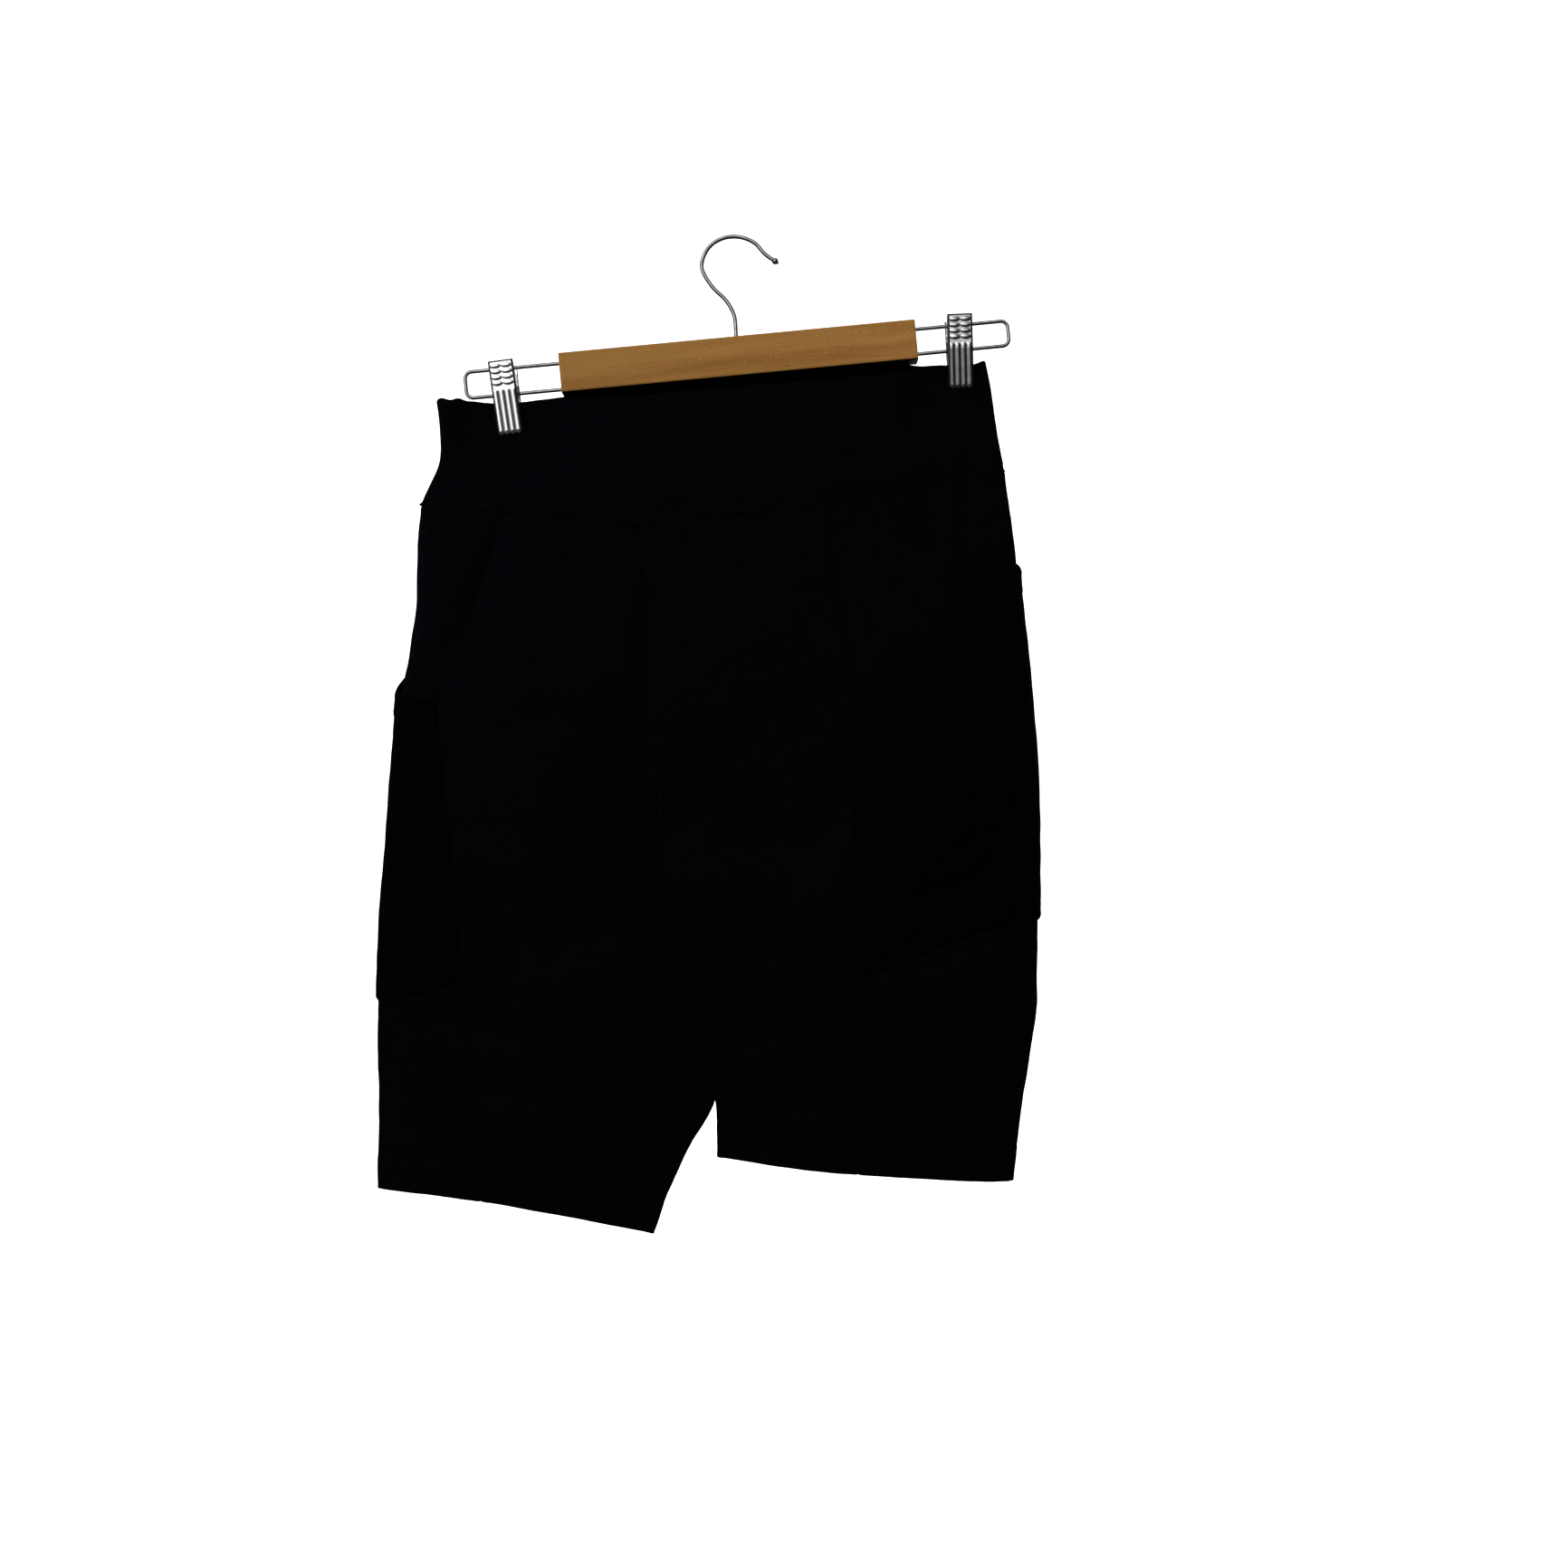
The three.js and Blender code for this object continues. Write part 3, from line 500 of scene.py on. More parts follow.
def waist_depth(x, back):
    """The depth and the level of the waist seam."""
    inner = "back" if back else "in"
    parts = []
    for half in HANDED:
        s = station(half, np.zeros(1))
        in_x = s[inner + "X"]
        share = clamp((x - in_x) / (s["outX"] - in_x))
        parts.append((s["deep"] * np.sqrt(1 - share**ROUND), mix(s[inner + "Z"], s["outZ"], share)))
    return [np.where(x < CENTRE[inner + "X"][0], a, b) for a, b in zip(*parts)]


def band_point(turn, drop):
    """The waistband's middle surface. turn is 0 at the left fold, 1 at the right one, 2 at the left again."""
    left, right = read(BAND_SIDES, "leftX", drop), read(BAND_SIDES, "rightX", drop)
    share = (1 - np.cos(np.pi * turn)) / 2
    x = mix(left, right, share)

    def straight_across(name, row):
        return mix(BAND_SIDES["left" + name][row], BAND_SIDES["right" + name][row], share)

    line = straight_across("Z", 0)
    between = smooth((x - CLIPS["left"]["x"]) / SAG_START) * smooth((CLIPS["right"]["x"] - x) / SAG_START)
    side = mix(read(BAND_SIDES, "leftZ", drop), read(BAND_SIDES, "rightZ", drop), share)
    plain = mix(line, straight_across("Z", -1), drop)
    end = clamp(np.minimum(x - left, right - x) / BAND_END)
    round_end = np.sqrt(1 - (1 - end) ** 2)
    points = []
    for back in (False, True):
        reach, level = waist_depth(straight_across("X", -1), back)
        top = line - between * FRONT_SAG + bumps(CORNERS, x) + gathers(x)
        deep = read(BAND_SIDES, "deep", drop)
        if back:
            under_bar = BAR["z"] + (x - BAR["x"]) * math.tan(TILT) - BAR["tall"] / 2 / math.cos(TILT)
            behind = smooth((x - BEHIND["left"]) / BEHIND["left_ramp"])
            behind = behind * smooth((BEHIND["right"] - x) / BEHIND["right_ramp"])
            top = mix(line + bumps(CORNERS, x), under_bar + BEHIND["rise"], behind)
            deep = mix(deep, np.maximum(deep, BEHIND["deep"]), behind)
        bottom = level + (0 if back else bumps(SEAM_WAVES, x))
        z = mix(top, bottom, drop) + side - plain
        full = mix(deep * round_end, reach, smooth(drop))
        depth = mix(full, PINCH_DEPTH * round_end, clip_pull(x, z) * end)
        crease = fold("back" if back else "front", x, z) * clamp(depth / FOLD_ROOM) * smooth(drop * 1.1)
        y = depth if back else -depth
        points.append(np.stack([x, y + crease, z], axis=-1))
    return np.where((turn > 1)[..., None], points[1], points[0])


# ---------------------------------------------------------------- meshes


def linked(name, data):
    made = bpy.data.objects.new(name, data)
    bpy.context.scene.collection.objects.link(made)
    return made


def smooth_mesh(name, points, faces):
    data = bpy.data.meshes.new(name)
    data.from_pydata(points, [], faces)
    data.polygons.foreach_set("use_smooth", np.ones(len(data.polygons), bool))
    return data


class Mesh:
    """Vertices, faces, map places and shade values gathered for one object."""

    def __init__(self):
        self.points, self.faces, self.maps, self.shade, self.count = [], [], [], [], 0

    def add(self, points, faces, maps=None, shade=0.0):
        points = np.asarray(points, float).reshape(-1, 3)
        self.points.append(points)
        self.faces.extend((np.asarray(f) + self.count).tolist() for f in faces)
        self.maps.append(np.zeros((len(points), 2)) if maps is None else np.asarray(maps).reshape(-1, 2))
        self.shade.append(np.broadcast_to(np.asarray(shade, float).ravel(), len(points)))
        self.count += len(points)

    def make(self, name, material, slot):
        data = smooth_mesh(name, (np.concatenate(self.points) * MM).tolist(), self.faces)
        corners = np.zeros(len(data.loops), np.int32)
        data.loops.foreach_get("vertex_index", corners)
        layer = data.uv_layers.new(name="cloth")
        layer.data.foreach_set("uv", (np.concatenate(self.maps)[corners] * MM).ravel())
        shade = data.attributes.new("shade", "FLOAT", "POINT")
        shade.data.foreach_set("value", np.concatenate(self.shade))
        data.materials.append(material)
        data.update()
        made = linked(name, data)
        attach(made, "root")
        return made


def grid_faces(rows, columns, wrap=False):
    i, j = np.meshgrid(np.arange(columns if wrap else columns - 1), np.arange(rows - 1))
    i, j = i.ravel(), j.ravel()
    k = (i + 1) % columns
    return np.stack([j * columns + i, j * columns + k, (j + 1) * columns + k, (j + 1) * columns + i], axis=-1)


def edges(rows, columns, wrap=False):
    """The loops of grid places along the open edges of a sheet, all the same way round."""
    last, end = rows - 1, columns - 1
    if wrap:
        loops = [[(0, i) for i in range(columns)], [(last, i) for i in range(end, -1, -1)]]
    else:
        loops = [[(0, i) for i in range(end)] + [(j, end) for j in range(last)]
                 + [(last, i) for i in range(end, 0, -1)] + [(j, 0) for j in range(last, 0, -1)]]
    return [np.array(loop).T for loop in loops]


def capped(rings, turned=False):
    """Points and faces of a closed form made of a stack of rings."""
    rings = np.asarray(rings)
    rows, sides = rings.shape[:2]
    faces = grid_faces(rows, sides, wrap=True).tolist()
    faces += [list(range(sides - 1, -1, -1)), list(range((rows - 1) * sides, rows * sides))]
    return rings.reshape(-1, 3), [face[::-1] for face in faces] if turned else faces


class Cloth:
    """A piece of cloth: a grid of middle points, with rows down it and columns across it."""

    def __init__(self, points, outward, thick, wrap=False):
        self.points, self.outward, self.thick, self.wrap = points, outward, thick, wrap
        self.rows, self.columns = points.shape[:2]
        closed = np.concatenate([points, points[:, :1]], 1) if wrap else points
        across = (np.roll(points, -1, 1) - np.roll(points, 1, 1)) / 2 if wrap else np.gradient(points, axis=1)
        down = np.gradient(points, axis=0)
        self.across, self.down = lengths(closed, 1), lengths(points)
        self.width, self.length = self.across[:, -1:], self.down[-1:]
        self.across = self.across[:, :self.columns]
        self.normals = unit(np.cross(across, down)) * outward
        self.tangent_across, self.tangent_down = unit(across), unit(down)
        self.relief = np.zeros((self.rows, self.columns))

    def area(self):
        cross = np.cross(np.diff(self.points, axis=1)[:-1], np.diff(self.points, axis=0)[:, :-1])
        return np.linalg.norm(cross, axis=-1).sum() * 1e-6

    def surface(self):
        return self.points + self.normals * (self.thick / 2 + self.relief)[..., None]

    def build(self, name, material, slot="jersey", inner_relief=0.6):
        outer = self.surface()
        inner = self.points + self.normals * (-self.thick / 2 + inner_relief * self.relief)[..., None]
        maps = np.stack([self.across, self.down], axis=-1)
        quads = grid_faces(self.rows, self.columns, self.wrap)
        if self.outward < 0:
            quads = quads[:, ::-1]
        size = self.rows * self.columns
        points, faces = [outer.reshape(-1, 3), inner.reshape(-1, 3)], [quads, quads[:, ::-1] + size]
        spots, start = [maps.reshape(-1, 2)] * 2, 2 * size
        for j, i in edges(self.rows, self.columns, self.wrap):
            away = np.zeros((len(j), 3))
            away -= self.tangent_down[j, i] * (j == 0)[:, None]
            away += self.tangent_down[j, i] * (j == self.rows - 1)[:, None]
            if not self.wrap:
                away -= self.tangent_across[j, i] * (i == 0)[:, None]
                away += self.tangent_across[j, i] * (i == self.columns - 1)[:, None]
            away = unit(away)
            middle, half = (outer[j, i] + inner[j, i]) / 2, (outer[j, i] - inner[j, i]) / 2
            reach = np.linalg.norm(half, axis=-1, keepdims=True)
            rings = [j * self.columns + i]
            for a in np.radians((45, 90, 135)):
                points.append(middle + half * math.cos(a) + away * reach * math.sin(a))
                spots.append(maps[j, i])
                rings.append(np.arange(len(j)) + start)
                start += len(j)
            rings.append(j * self.columns + i + size)
            for a, b in zip(rings, rings[1:]):
                strip = np.stack([np.roll(a, -1), a, b, np.roll(b, -1)], axis=-1)
                faces.append(strip if self.outward > 0 else strip[:, ::-1])
        mesh = Mesh()
        mesh.add(np.concatenate(points), np.concatenate(faces), np.concatenate(spots))
        return mesh.make(name, material, slot)

    def line(self, edge, offset):
        """Points and normals of a line on the outer surface, offset from one edge."""
        outer = np.concatenate([self.surface(), self.normals], axis=-1)
        if edge in ("left", "right"):
            place, total, grids = self.across, self.width[:, 0], outer
        else:
            place, total, grids = self.down.T, self.length[0], outer.transpose(1, 0, 2)
        at = np.full(len(total), float(offset)) if edge in ("left", "top") else total - offset
        found = np.array([[np.interp(a, p, g[:, k]) for k in range(6)] for a, p, g in zip(at, place, grids)])
        if self.wrap and edge in ("top", "bottom"):
            found = np.concatenate([found, found[:1]])
        return found[:, :3], unit(found[:, 3:])


def spaced(marks, total, step):
    """Places from 0 to total: the marks, which are exact, and even steps between them."""
    marks = sorted({0.0, float(total), *(float(m) for m in marks if 0 < m < total)})
    places = [0.0]
    for a, b in zip(marks, marks[1:]):
        count = max(1, math.ceil((b - a) / step))
        places.extend(mix(a, b, (k + 1) / count) for k in range(count))
    return np.array(places)


NEAR_EDGE = (0.5, 1.0, 1.7, 2.6, 3.8, 5.2)
STEP = 3.0


def near(total, ends=(True, True)):
    return [m for m in NEAR_EDGE if ends[0]] + [total - m for m in NEAR_EDGE if ends[1]]


# ---------------------------------------------------------------- stitches


def resample(points, normals, pitch):
    """The line at even steps of about the pitch."""
    steps = lengths(points)
    places = np.linspace(0, steps[-1], max(2, round(steps[-1] / pitch)) + 1)
    found = at_lengths(places, steps, np.concatenate([points, normals], axis=-1))
    return found[:, :3], unit(found[:, 3:])


STITCH_SIDES = 5
STITCH_SHAPE = ((0.0, -0.7, 0.55), (0.16, 0.45, 1), (0.84, 0.45, 1), (1.0, -0.7, 0.55))


def add_stitches(mesh, starts, ends, normals, radius):
    """Short thread runs from start to end, sunk at both ends into the cloth."""
    along = unit(ends - starts)
    aside = unit(np.cross(normals, along))
    rings = []
    for share, lift, scale in STITCH_SHAPE:
        centre = mix(starts, ends, share) + normals * radius * lift
        for k in range(STITCH_SIDES):
            a = ROUND_TURN * k / STITCH_SIDES
            rings.append(centre + (aside * math.cos(a) + normals * math.sin(a)) * radius * scale)
    points = np.stack(rings, axis=1)
    size = points.shape[1]
    tube = grid_faces(len(STITCH_SHAPE), STITCH_SIDES, wrap=True)[:, ::-1]
    shift = (np.arange(len(starts)) * size)[:, None]
    faces = [(tube[None] + shift[..., None]).reshape(-1, 4)]
    caps = np.stack([np.arange(STITCH_SIDES), size - 1 - np.arange(STITCH_SIDES)])
    faces.append((caps[None] + shift[..., None]).reshape(-1, STITCH_SIDES))
    mesh.add(points, [list(f) for block in faces for f in block])


def straight(mesh, line, pitch=3.0, fill=0.82, radius=0.2):
    """A row of stitches along a line."""
    points, normals = resample(*line, pitch)
    ends = mix(points[:-1], points[1:], fill)
    add_stitches(mesh, points[:-1], ends, unit(normals[:-1] + normals[1:]), radius)


def zigzag(mesh, line_a, line_b, pitch=3.0, radius=0.16):
    """Threads to and fro between two lines."""
    a, na = resample(*line_a, pitch)
    b = at_lengths(np.linspace(0, 1, len(a)), np.linspace(0, 1, len(line_b[0])), line_b[0])
    lift = na * radius * 0.6
    add_stitches(mesh, a[:-1] + lift[:-1], b[:-1] + lift[:-1], na[:-1], radius)
    add_stitches(mesh, b[:-1] + lift[:-1], a[1:] + lift[1:], na[1:], radius)


# ---------------------------------------------------------------- materials


class Nodes:
    """Short calls to add and join the nodes of a tree."""

    def __init__(self, tree):
        self.tree = tree

    def node(self, kind, *sockets, out=0, **settings):
        made = self.tree.nodes.new(kind)
        for name, value in settings.items():
            setattr(made, name, value)
        for socket, value in zip(made.inputs, sockets):
            self.put(socket, value)
        return made.outputs[out]

    def put(self, socket, value):
        if isinstance(value, bpy.types.NodeSocket):
            self.tree.links.new(value, socket)
        elif value is not None:
            socket.default_value = value

    def ramp(self, value, *stops):
        """Colours by value, from pairs of a place and a colour."""
        made = self.tree.nodes.new("ShaderNodeValToRGB")
        self.put(made.inputs[0], value)
        band = made.color_ramp
        while len(band.elements) < len(stops):
            band.elements.new(0.5)
        for element, (place, colour) in zip(band.elements, stops):
            element.position, element.color = place, (*colour, 1)
        return made.outputs[0]


class Graph(Nodes):
    """A material's nodes."""

    def __init__(self, name, **fixed):
        self.material = bpy.data.materials.new(name)
        self.material.use_nodes = True
        super().__init__(self.material.node_tree)
        self.shader = self.tree.nodes["Principled BSDF"]
        for socket, value in fixed.items():
            self.shader.inputs[socket.replace("_", " ")].default_value = value

    def math(self, operation, a, b=None):
        return self.node("ShaderNodeMath", a, b, operation=operation)

    def add(self, a, b):
        return self.math("ADD", a, b)

    def times(self, a, b):
        return self.math("MULTIPLY", a, b)

    def part(self, vector, which):
        return self.node("ShaderNodeSeparateXYZ", vector, out="XYZ".index(which))

    def noise(self, vector, scale, detail=2.0, rough=0.5, stretch=None):
        if stretch:
            vector = self.node("ShaderNodeMapping", vector, None, None, stretch)
        return self.node("ShaderNodeTexNoise", vector, None, scale, detail, rough)

    def grey(self, value, low, high):
        return self.ramp(value, (low, (0, 0, 0)), (high, (1, 1, 1)))

    def mix(self, share, a, b):
        return self.node("ShaderNodeMix", share, *[None] * 5, a, b, out=2, data_type="RGBA")

    def bump(self, height, strength, distance, before=None):
        made = self.tree.nodes.new("ShaderNodeBump")
        sockets = {"Strength": strength, "Distance": distance, "Height": height, "Normal": before}
        for socket, value in sockets.items():
            self.put(made.inputs[socket], value)
        return made.outputs[0]

    def finish(self, colour=None, rough=None, normal=None):
        for socket, value in (("Base Color", colour), ("Roughness", rough), ("Normal", normal)):
            self.put(self.shader.inputs[socket], value)
        return self.material


WALE, COURSE = 1.15 * MM, 1.0 * MM  # the width of a column of loops, and the height of a row


def rgb(r, g, b):
    """A colour given as it looks, 0 to 255, in the renderer's own values."""
    return tuple(v / 255 / 12.92 if v < 10.3 else ((v / 255 + 0.055) / 1.055) ** 2.4 for v in (r, g, b))


def knit(name, dark, light, gloss, sheen):
    """A fine jersey, with its columns of loops and an uneven, faintly blue nap."""
    g = Graph(name, Specular_IOR_Level=gloss, Sheen_Weight=sheen, Sheen_Roughness=0.4,
              Sheen_Tint=(0.62, 0.72, 1.0, 1))
    place = g.node("ShaderNodeTexCoord", out=2)
    across = g.math("FRACT", g.math("DIVIDE", g.part(place, "X"), WALE))
    aside = g.math("ABSOLUTE", g.math("SUBTRACT", across, 0.5))
    column = g.math("COSINE", g.times(aside, ROUND_TURN))
    down = g.math("SUBTRACT", g.math("DIVIDE", g.part(place, "Y"), COURSE), g.times(aside, 1.1))
    loop = g.math("SINE", g.times(down, ROUND_TURN))
    height = g.add(g.times(column, 0.5), g.times(loop, 0.35))
    height = g.add(height, g.times(g.noise(place, 2600, 3), 0.5))
    uneven = g.noise(place, 90, 4)
    tone = g.add(g.times(uneven, 0.55), g.times(g.noise(place, 14, 3), 0.45))
    colour = g.ramp(tone, (0.32, dark), (0.7, light))
    # painted shade: the low places between the loops are darkened
    colour = g.mix(g.grey(height, 0.1, 1.0), g.mix(0.5, colour, (*dark, 1)), colour)
    soft = g.bump(g.noise(place, 220, 3), 0.25, 0.0004)
    return g.finish(colour, g.add(g.times(uneven, 0.2), 0.7), g.bump(height, 0.6, 0.00022, soft))


def thread_finish():
    g = Graph("thread", Specular_IOR_Level=0.012)
    place = g.node("ShaderNodeTexCoord", out=3)
    twist = g.node("ShaderNodeTexWave", place, 1800.0, 2.0)
    colour = g.ramp(g.noise(place, 600, 2), (0.3, rgb(1.0, 1.1, 1.4)), (0.7, rgb(2.2, 2.4, 3.2)))
    return g.finish(colour, g.add(g.times(twist, 0.15), 0.45), g.bump(twist, 0.4, 0.0001))


def wood_finish():
    """Varnished beech, with pores and flecks along the bar, and painted shade at its left end and underneath.
    """
    g = Graph("wood", Specular_IOR_Level=0.07)
    place = g.node("ShaderNodeMapping", g.node("ShaderNodeTexCoord", out=3), None, (0, TILT, 0))
    warp = g.noise(place, 14, 3, stretch=(0.35, 1, 1))
    warp = g.node("ShaderNodeVectorMath", warp, (0.006,) * 3, operation="MULTIPLY")
    shift = g.node("ShaderNodeVectorMath", place, warp, operation="ADD")
    broad = g.noise(shift, 120, 4, 0.55, stretch=(0.05, 1, 1))
    fine = g.noise(shift, 900, 3, 0.6, stretch=(0.03, 1, 1))
    grain = g.add(g.times(broad, 0.7), g.times(fine, 0.3))
    colour = g.ramp(grain, (0.3, rgb(78, 51, 21)), (0.47, rgb(89, 61, 27)), (0.7, rgb(98, 71, 34)))
    pore = g.grey(g.noise(place, 1500, 2, stretch=(0.14, 1, 1)), 0.64, 0.72)
    fleck = g.grey(g.noise(place, 1100, 1, stretch=(0.5, 1, 1)), 0.71, 0.76)
    # painted shade: the left end is darkened against the key lamp, which lights it more than the right end
    left_end_shade = g.node("ShaderNodeMapRange", g.part(place, "X"), 0.1, -0.12, 0.0, 0.3)
    # painted shade: faces that point down are painted near black
    down = g.times(g.part(g.node("ShaderNodeNewGeometry", out=1), "Z"), -1)
    for share, tint in ((g.times(pore, 0.5), (60, 37, 15)), (g.times(fleck, 0.35), (140, 116, 84)),
                        (left_end_shade, (50, 32, 12)), (g.grey(down, 0.55, 0.8), (8, 6, 4))):
        colour = g.mix(share, colour, (*rgb(*tint), 1))
    height = g.math("SUBTRACT", g.times(fine, 0.6), pore)
    return g.finish(colour, g.add(g.times(fine, 0.2), 0.42), g.bump(height, 0.35, 0.0002))


def metal_finish(name, dark, light, rough, shade_colour):
    """Plated or drawn metal, with painted shade wherever the shade attribute is set."""
    g = Graph(name, Metallic=1.0)
    place = g.node("ShaderNodeTexCoord", out=3)
    cloud, fine = g.noise(place, 260, 4), g.noise(place, 2400, 2, stretch=(1, 1, 0.3))
    shade = g.node("ShaderNodeAttribute", attribute_name="shade", out=2)
    # painted shade: the shade attribute mixes in a dark colour in hollows and along edges
    colour = g.mix(shade, g.ramp(cloud, (0.3, dark), (0.7, light)), (*shade_colour, 1))
    rough = g.add(g.times(g.add(cloud, fine), rough), g.times(shade, 0.3))
    return g.finish(colour, rough, g.bump(fine, 0.12, 0.00008))


knit_finish = knit("knit", rgb(0.6, 0.8, 1.3), rgb(1.5, 1.9, 2.9), 0.011, 0.002)
# painted shade: the pockets use a darker copy of the knit, for the shade on them
pocket_shaded_knit = knit("knit_dark", rgb(0.4, 0.5, 0.7), rgb(0.8, 1.0, 1.4), 0.006, 0.0015)
thread = thread_finish()
wood = wood_finish()
steel = metal_finish("steel", (0.20, 0.20, 0.196), (0.34, 0.34, 0.332), 0.14, (0.03, 0.03, 0.03))
nickel = metal_finish("nickel", (0.88, 0.88, 0.87), (0.98, 0.98, 0.97), 0.2, (0.012, 0.012, 0.011))
# painted shade: a darker copy of the nickel for the right clip, standing in for the duller light on its
# plating
shaded_nickel = metal_finish("shaded_nickel", (0.42, 0.42, 0.41), (0.72, 0.72, 0.71), 0.16, (0.008, 0.008, 0.007))

# ---------------------------------------------------------------- cloth pieces

HEM_ROWS = (18.0, 21.0)  # rows of stitches, from the edge
HEM_MARKS = (16.6, 17.3, 18, 18.7, 19.6, 20.4, 21, 21.7, 22.6)  # rows of points that carry their relief
MOUTH_ROWS = (11.8, 14.4)
MOUTH_MARKS = (10.6, 11.2, 11.8, 12.4, 13.1, 13.8, 14.4, 15, 15.8)
FLATLOCK = 2.6  # from a flat seam to the stitches beside it
PUCKER = 7.3  # from one pucker of a seam to the next
RIPPLES = (44, 15)  # broad and fine unevenness of the cloth, from crest to crest
BAND_STEP = 2.4
EASE = {"rows": 7, "wide": 3.5, "down": 20, "aside": 22}


def seam_relief(away, along, ridge=0.35):
    """The cloth turns down into a seam, with a low ridge beside it that puckers along the stitches."""
    pucker = 1 + 0.3 * np.sin(ROUND_TURN * along / PUCKER + np.sin(along / 19) * 2)
    return -0.95 * bell(away, 0.75) + ridge * pucker * bell(away - 2.8, 2.0)


def stitch_dent(away, *rows):
    return sum(-0.28 * bell(away - row, 0.55) for row in rows)


def uneven(cloth, seed, size=0.5):
    broad, fine = (ripple(cloth.across, cloth.down, seed + k, long) for k, long in enumerate(RIPPLES))
    return size * broad + 0.16 * fine


def panel_rows():
    """How far below the waist seam a panel's rows lie, closer at its edges and at the hem's stitches."""
    upper = spaced(near(CROTCH, (True, False)), CROTCH, STEP)
    long = HEM - LEG_TOP
    marks = [long - m for m in (*NEAR_EDGE, *HEM_MARKS)]
    return np.concatenate([upper, LEG_TOP + spaced(marks, long, STEP)])


def eased(points, inner):
    """The points, with the step between body and leg spread over a few rows away from the crotch."""
    beside = np.arange(-EASE["rows"], EASE["rows"] + 1)
    weights = bell(beside, EASE["wide"])
    picks = np.clip(np.arange(len(points))[:, None] + beside, 0, len(points) - 1)
    soft = np.einsum("k,rkcx->rcx", weights / weights.sum(), points[picks])
    share = bell(at - CROTCH, EASE["down"]) * smooth(inner / EASE["aside"])
    return mix(points, soft, share[..., None])


# About how wide, and tall, each piece is, which sets how many points it has.
PANEL_WIDTHS = {("left", "front"): 132, ("right", "front"): 118, ("left", "side"): 150,
                ("right", "side"): 168, ("left", "back"): 118, ("right", "back"): 140}
POCKET_SIZES = {"left": (150, 180), "right": (168, 190)}
BAND_SIZE = (722, 76)
cloths = {}
made = {}
at = panel_rows()[:, None]
for seed, ((half, name), wide) in enumerate(PANEL_WIDTHS.items()):
    u = (spaced(near(wide), wide, STEP) / wide)[None, :]
    points = body_point(half, panel_turn(half, name, u, at), at)
    inner = u * wide if name == "front" else (1 - u) * wide if name == "back" else wide + 0 * u
    cloth = Cloth(eased(points, inner), -HANDED[half], PANEL_THICK)
    hem = cloth.length - cloth.down
    for away in (cloth.across, cloth.width - cloth.across):
        cloth.relief += seam_relief(away, cloth.down)
    cloth.relief += seam_relief(cloth.down, cloth.across, 0.3)
    cloth.relief += 0.5 * smooth((HEM_ROWS[1] + 1.2 - hem) / 1.6) + stitch_dent(hem, *HEM_ROWS)
    cloth.relief += uneven(cloth, 10 * seed)
    cloths[half, name] = cloth
    made[half, name] = cloth.build(f"{name}_{half}_cloth", knit_finish)
    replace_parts(made[half, name], f"{name}_panel_{half}")


def pocket_cloth(half):
    """A pocket laid on its side panel, sewn down but for its mouth."""
    wide, tall = POCKET_SIZES[half]
    u = (spaced(near(wide), wide, STEP) / wide)[None, :]
    w = (spaced([*near(tall), *MOUTH_MARKS], tall, STEP) / tall)[:, None]
    drop = mix(read(POCKET[half], "mouth", u), read(POCKET[half], "base", u), w)
    under = body_point(half, panel_turn(half, "side", u, drop), drop)
    flat = Cloth(under, -HANDED[half], POCKET_THICK)
    sewn = smooth(np.minimum(np.minimum(flat.across, flat.width - flat.across), flat.length - flat.down) / 9)
    lift = PANEL_THICK / 2 + POCKET_THICK / 2 + mix(0.3, 0.9, sewn)
    puff = read(POCKET[half], "puff", u) * np.cos(np.pi * w / 2)
    return Cloth(under + flat.normals * (lift + puff)[..., None], -HANDED[half], POCKET_THICK)


for seed, half in enumerate(HANDED):
    cloth = pocket_cloth(half)
    base = cloth.length - cloth.down
    for away in (cloth.across, cloth.width - cloth.across):
        cloth.relief += 0.6 * seam_relief(away, cloth.down)
    cloth.relief += 0.6 * seam_relief(base, cloth.across, 0.6)
    cloth.relief += 0.55 * smooth((MOUTH_ROWS[1] + 1 - cloth.down) / 1.5)
    cloth.relief += stitch_dent(cloth.down, *MOUTH_ROWS)
    cloth.relief += 0.4 * bell(cloth.down - 1.2, 1.3)
    cloth.relief += uneven(cloth, 100 + 10 * seed, 0.25)
    cloths[half, "pocket"] = cloth
    made[half, "pocket"] = cloth.build(f"pocket_{half}_cloth", pocket_shaded_knit)
    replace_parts(made[half, "pocket"], f"pocket_{half}")


def waistband_cloth():
    wide, tall = BAND_SIZE
    turn = np.linspace(0, 2, round(wide / 2), endpoint=False)[None, :]
    drop = mix(BAND_THICK / 2 / tall, 1, spaced(near(tall), tall, BAND_STEP) / tall)[:, None]
    cloth = Cloth(band_point(turn, drop), 1, BAND_THICK, wrap=True)
    cloth.relief += seam_relief(cloth.length - cloth.down, cloth.across, 0.55)
    cloth.relief += uneven(cloth, 200, 0.25) * smooth(cloth.down / 8)
    return cloth


cloths["band"] = waistband_cloth()
made["band"] = cloths["band"].build("waistband_cloth", knit_finish)
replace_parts(made["band"], "waistband_front", "waistband_back")

# ---------------------------------------------------------------- threads

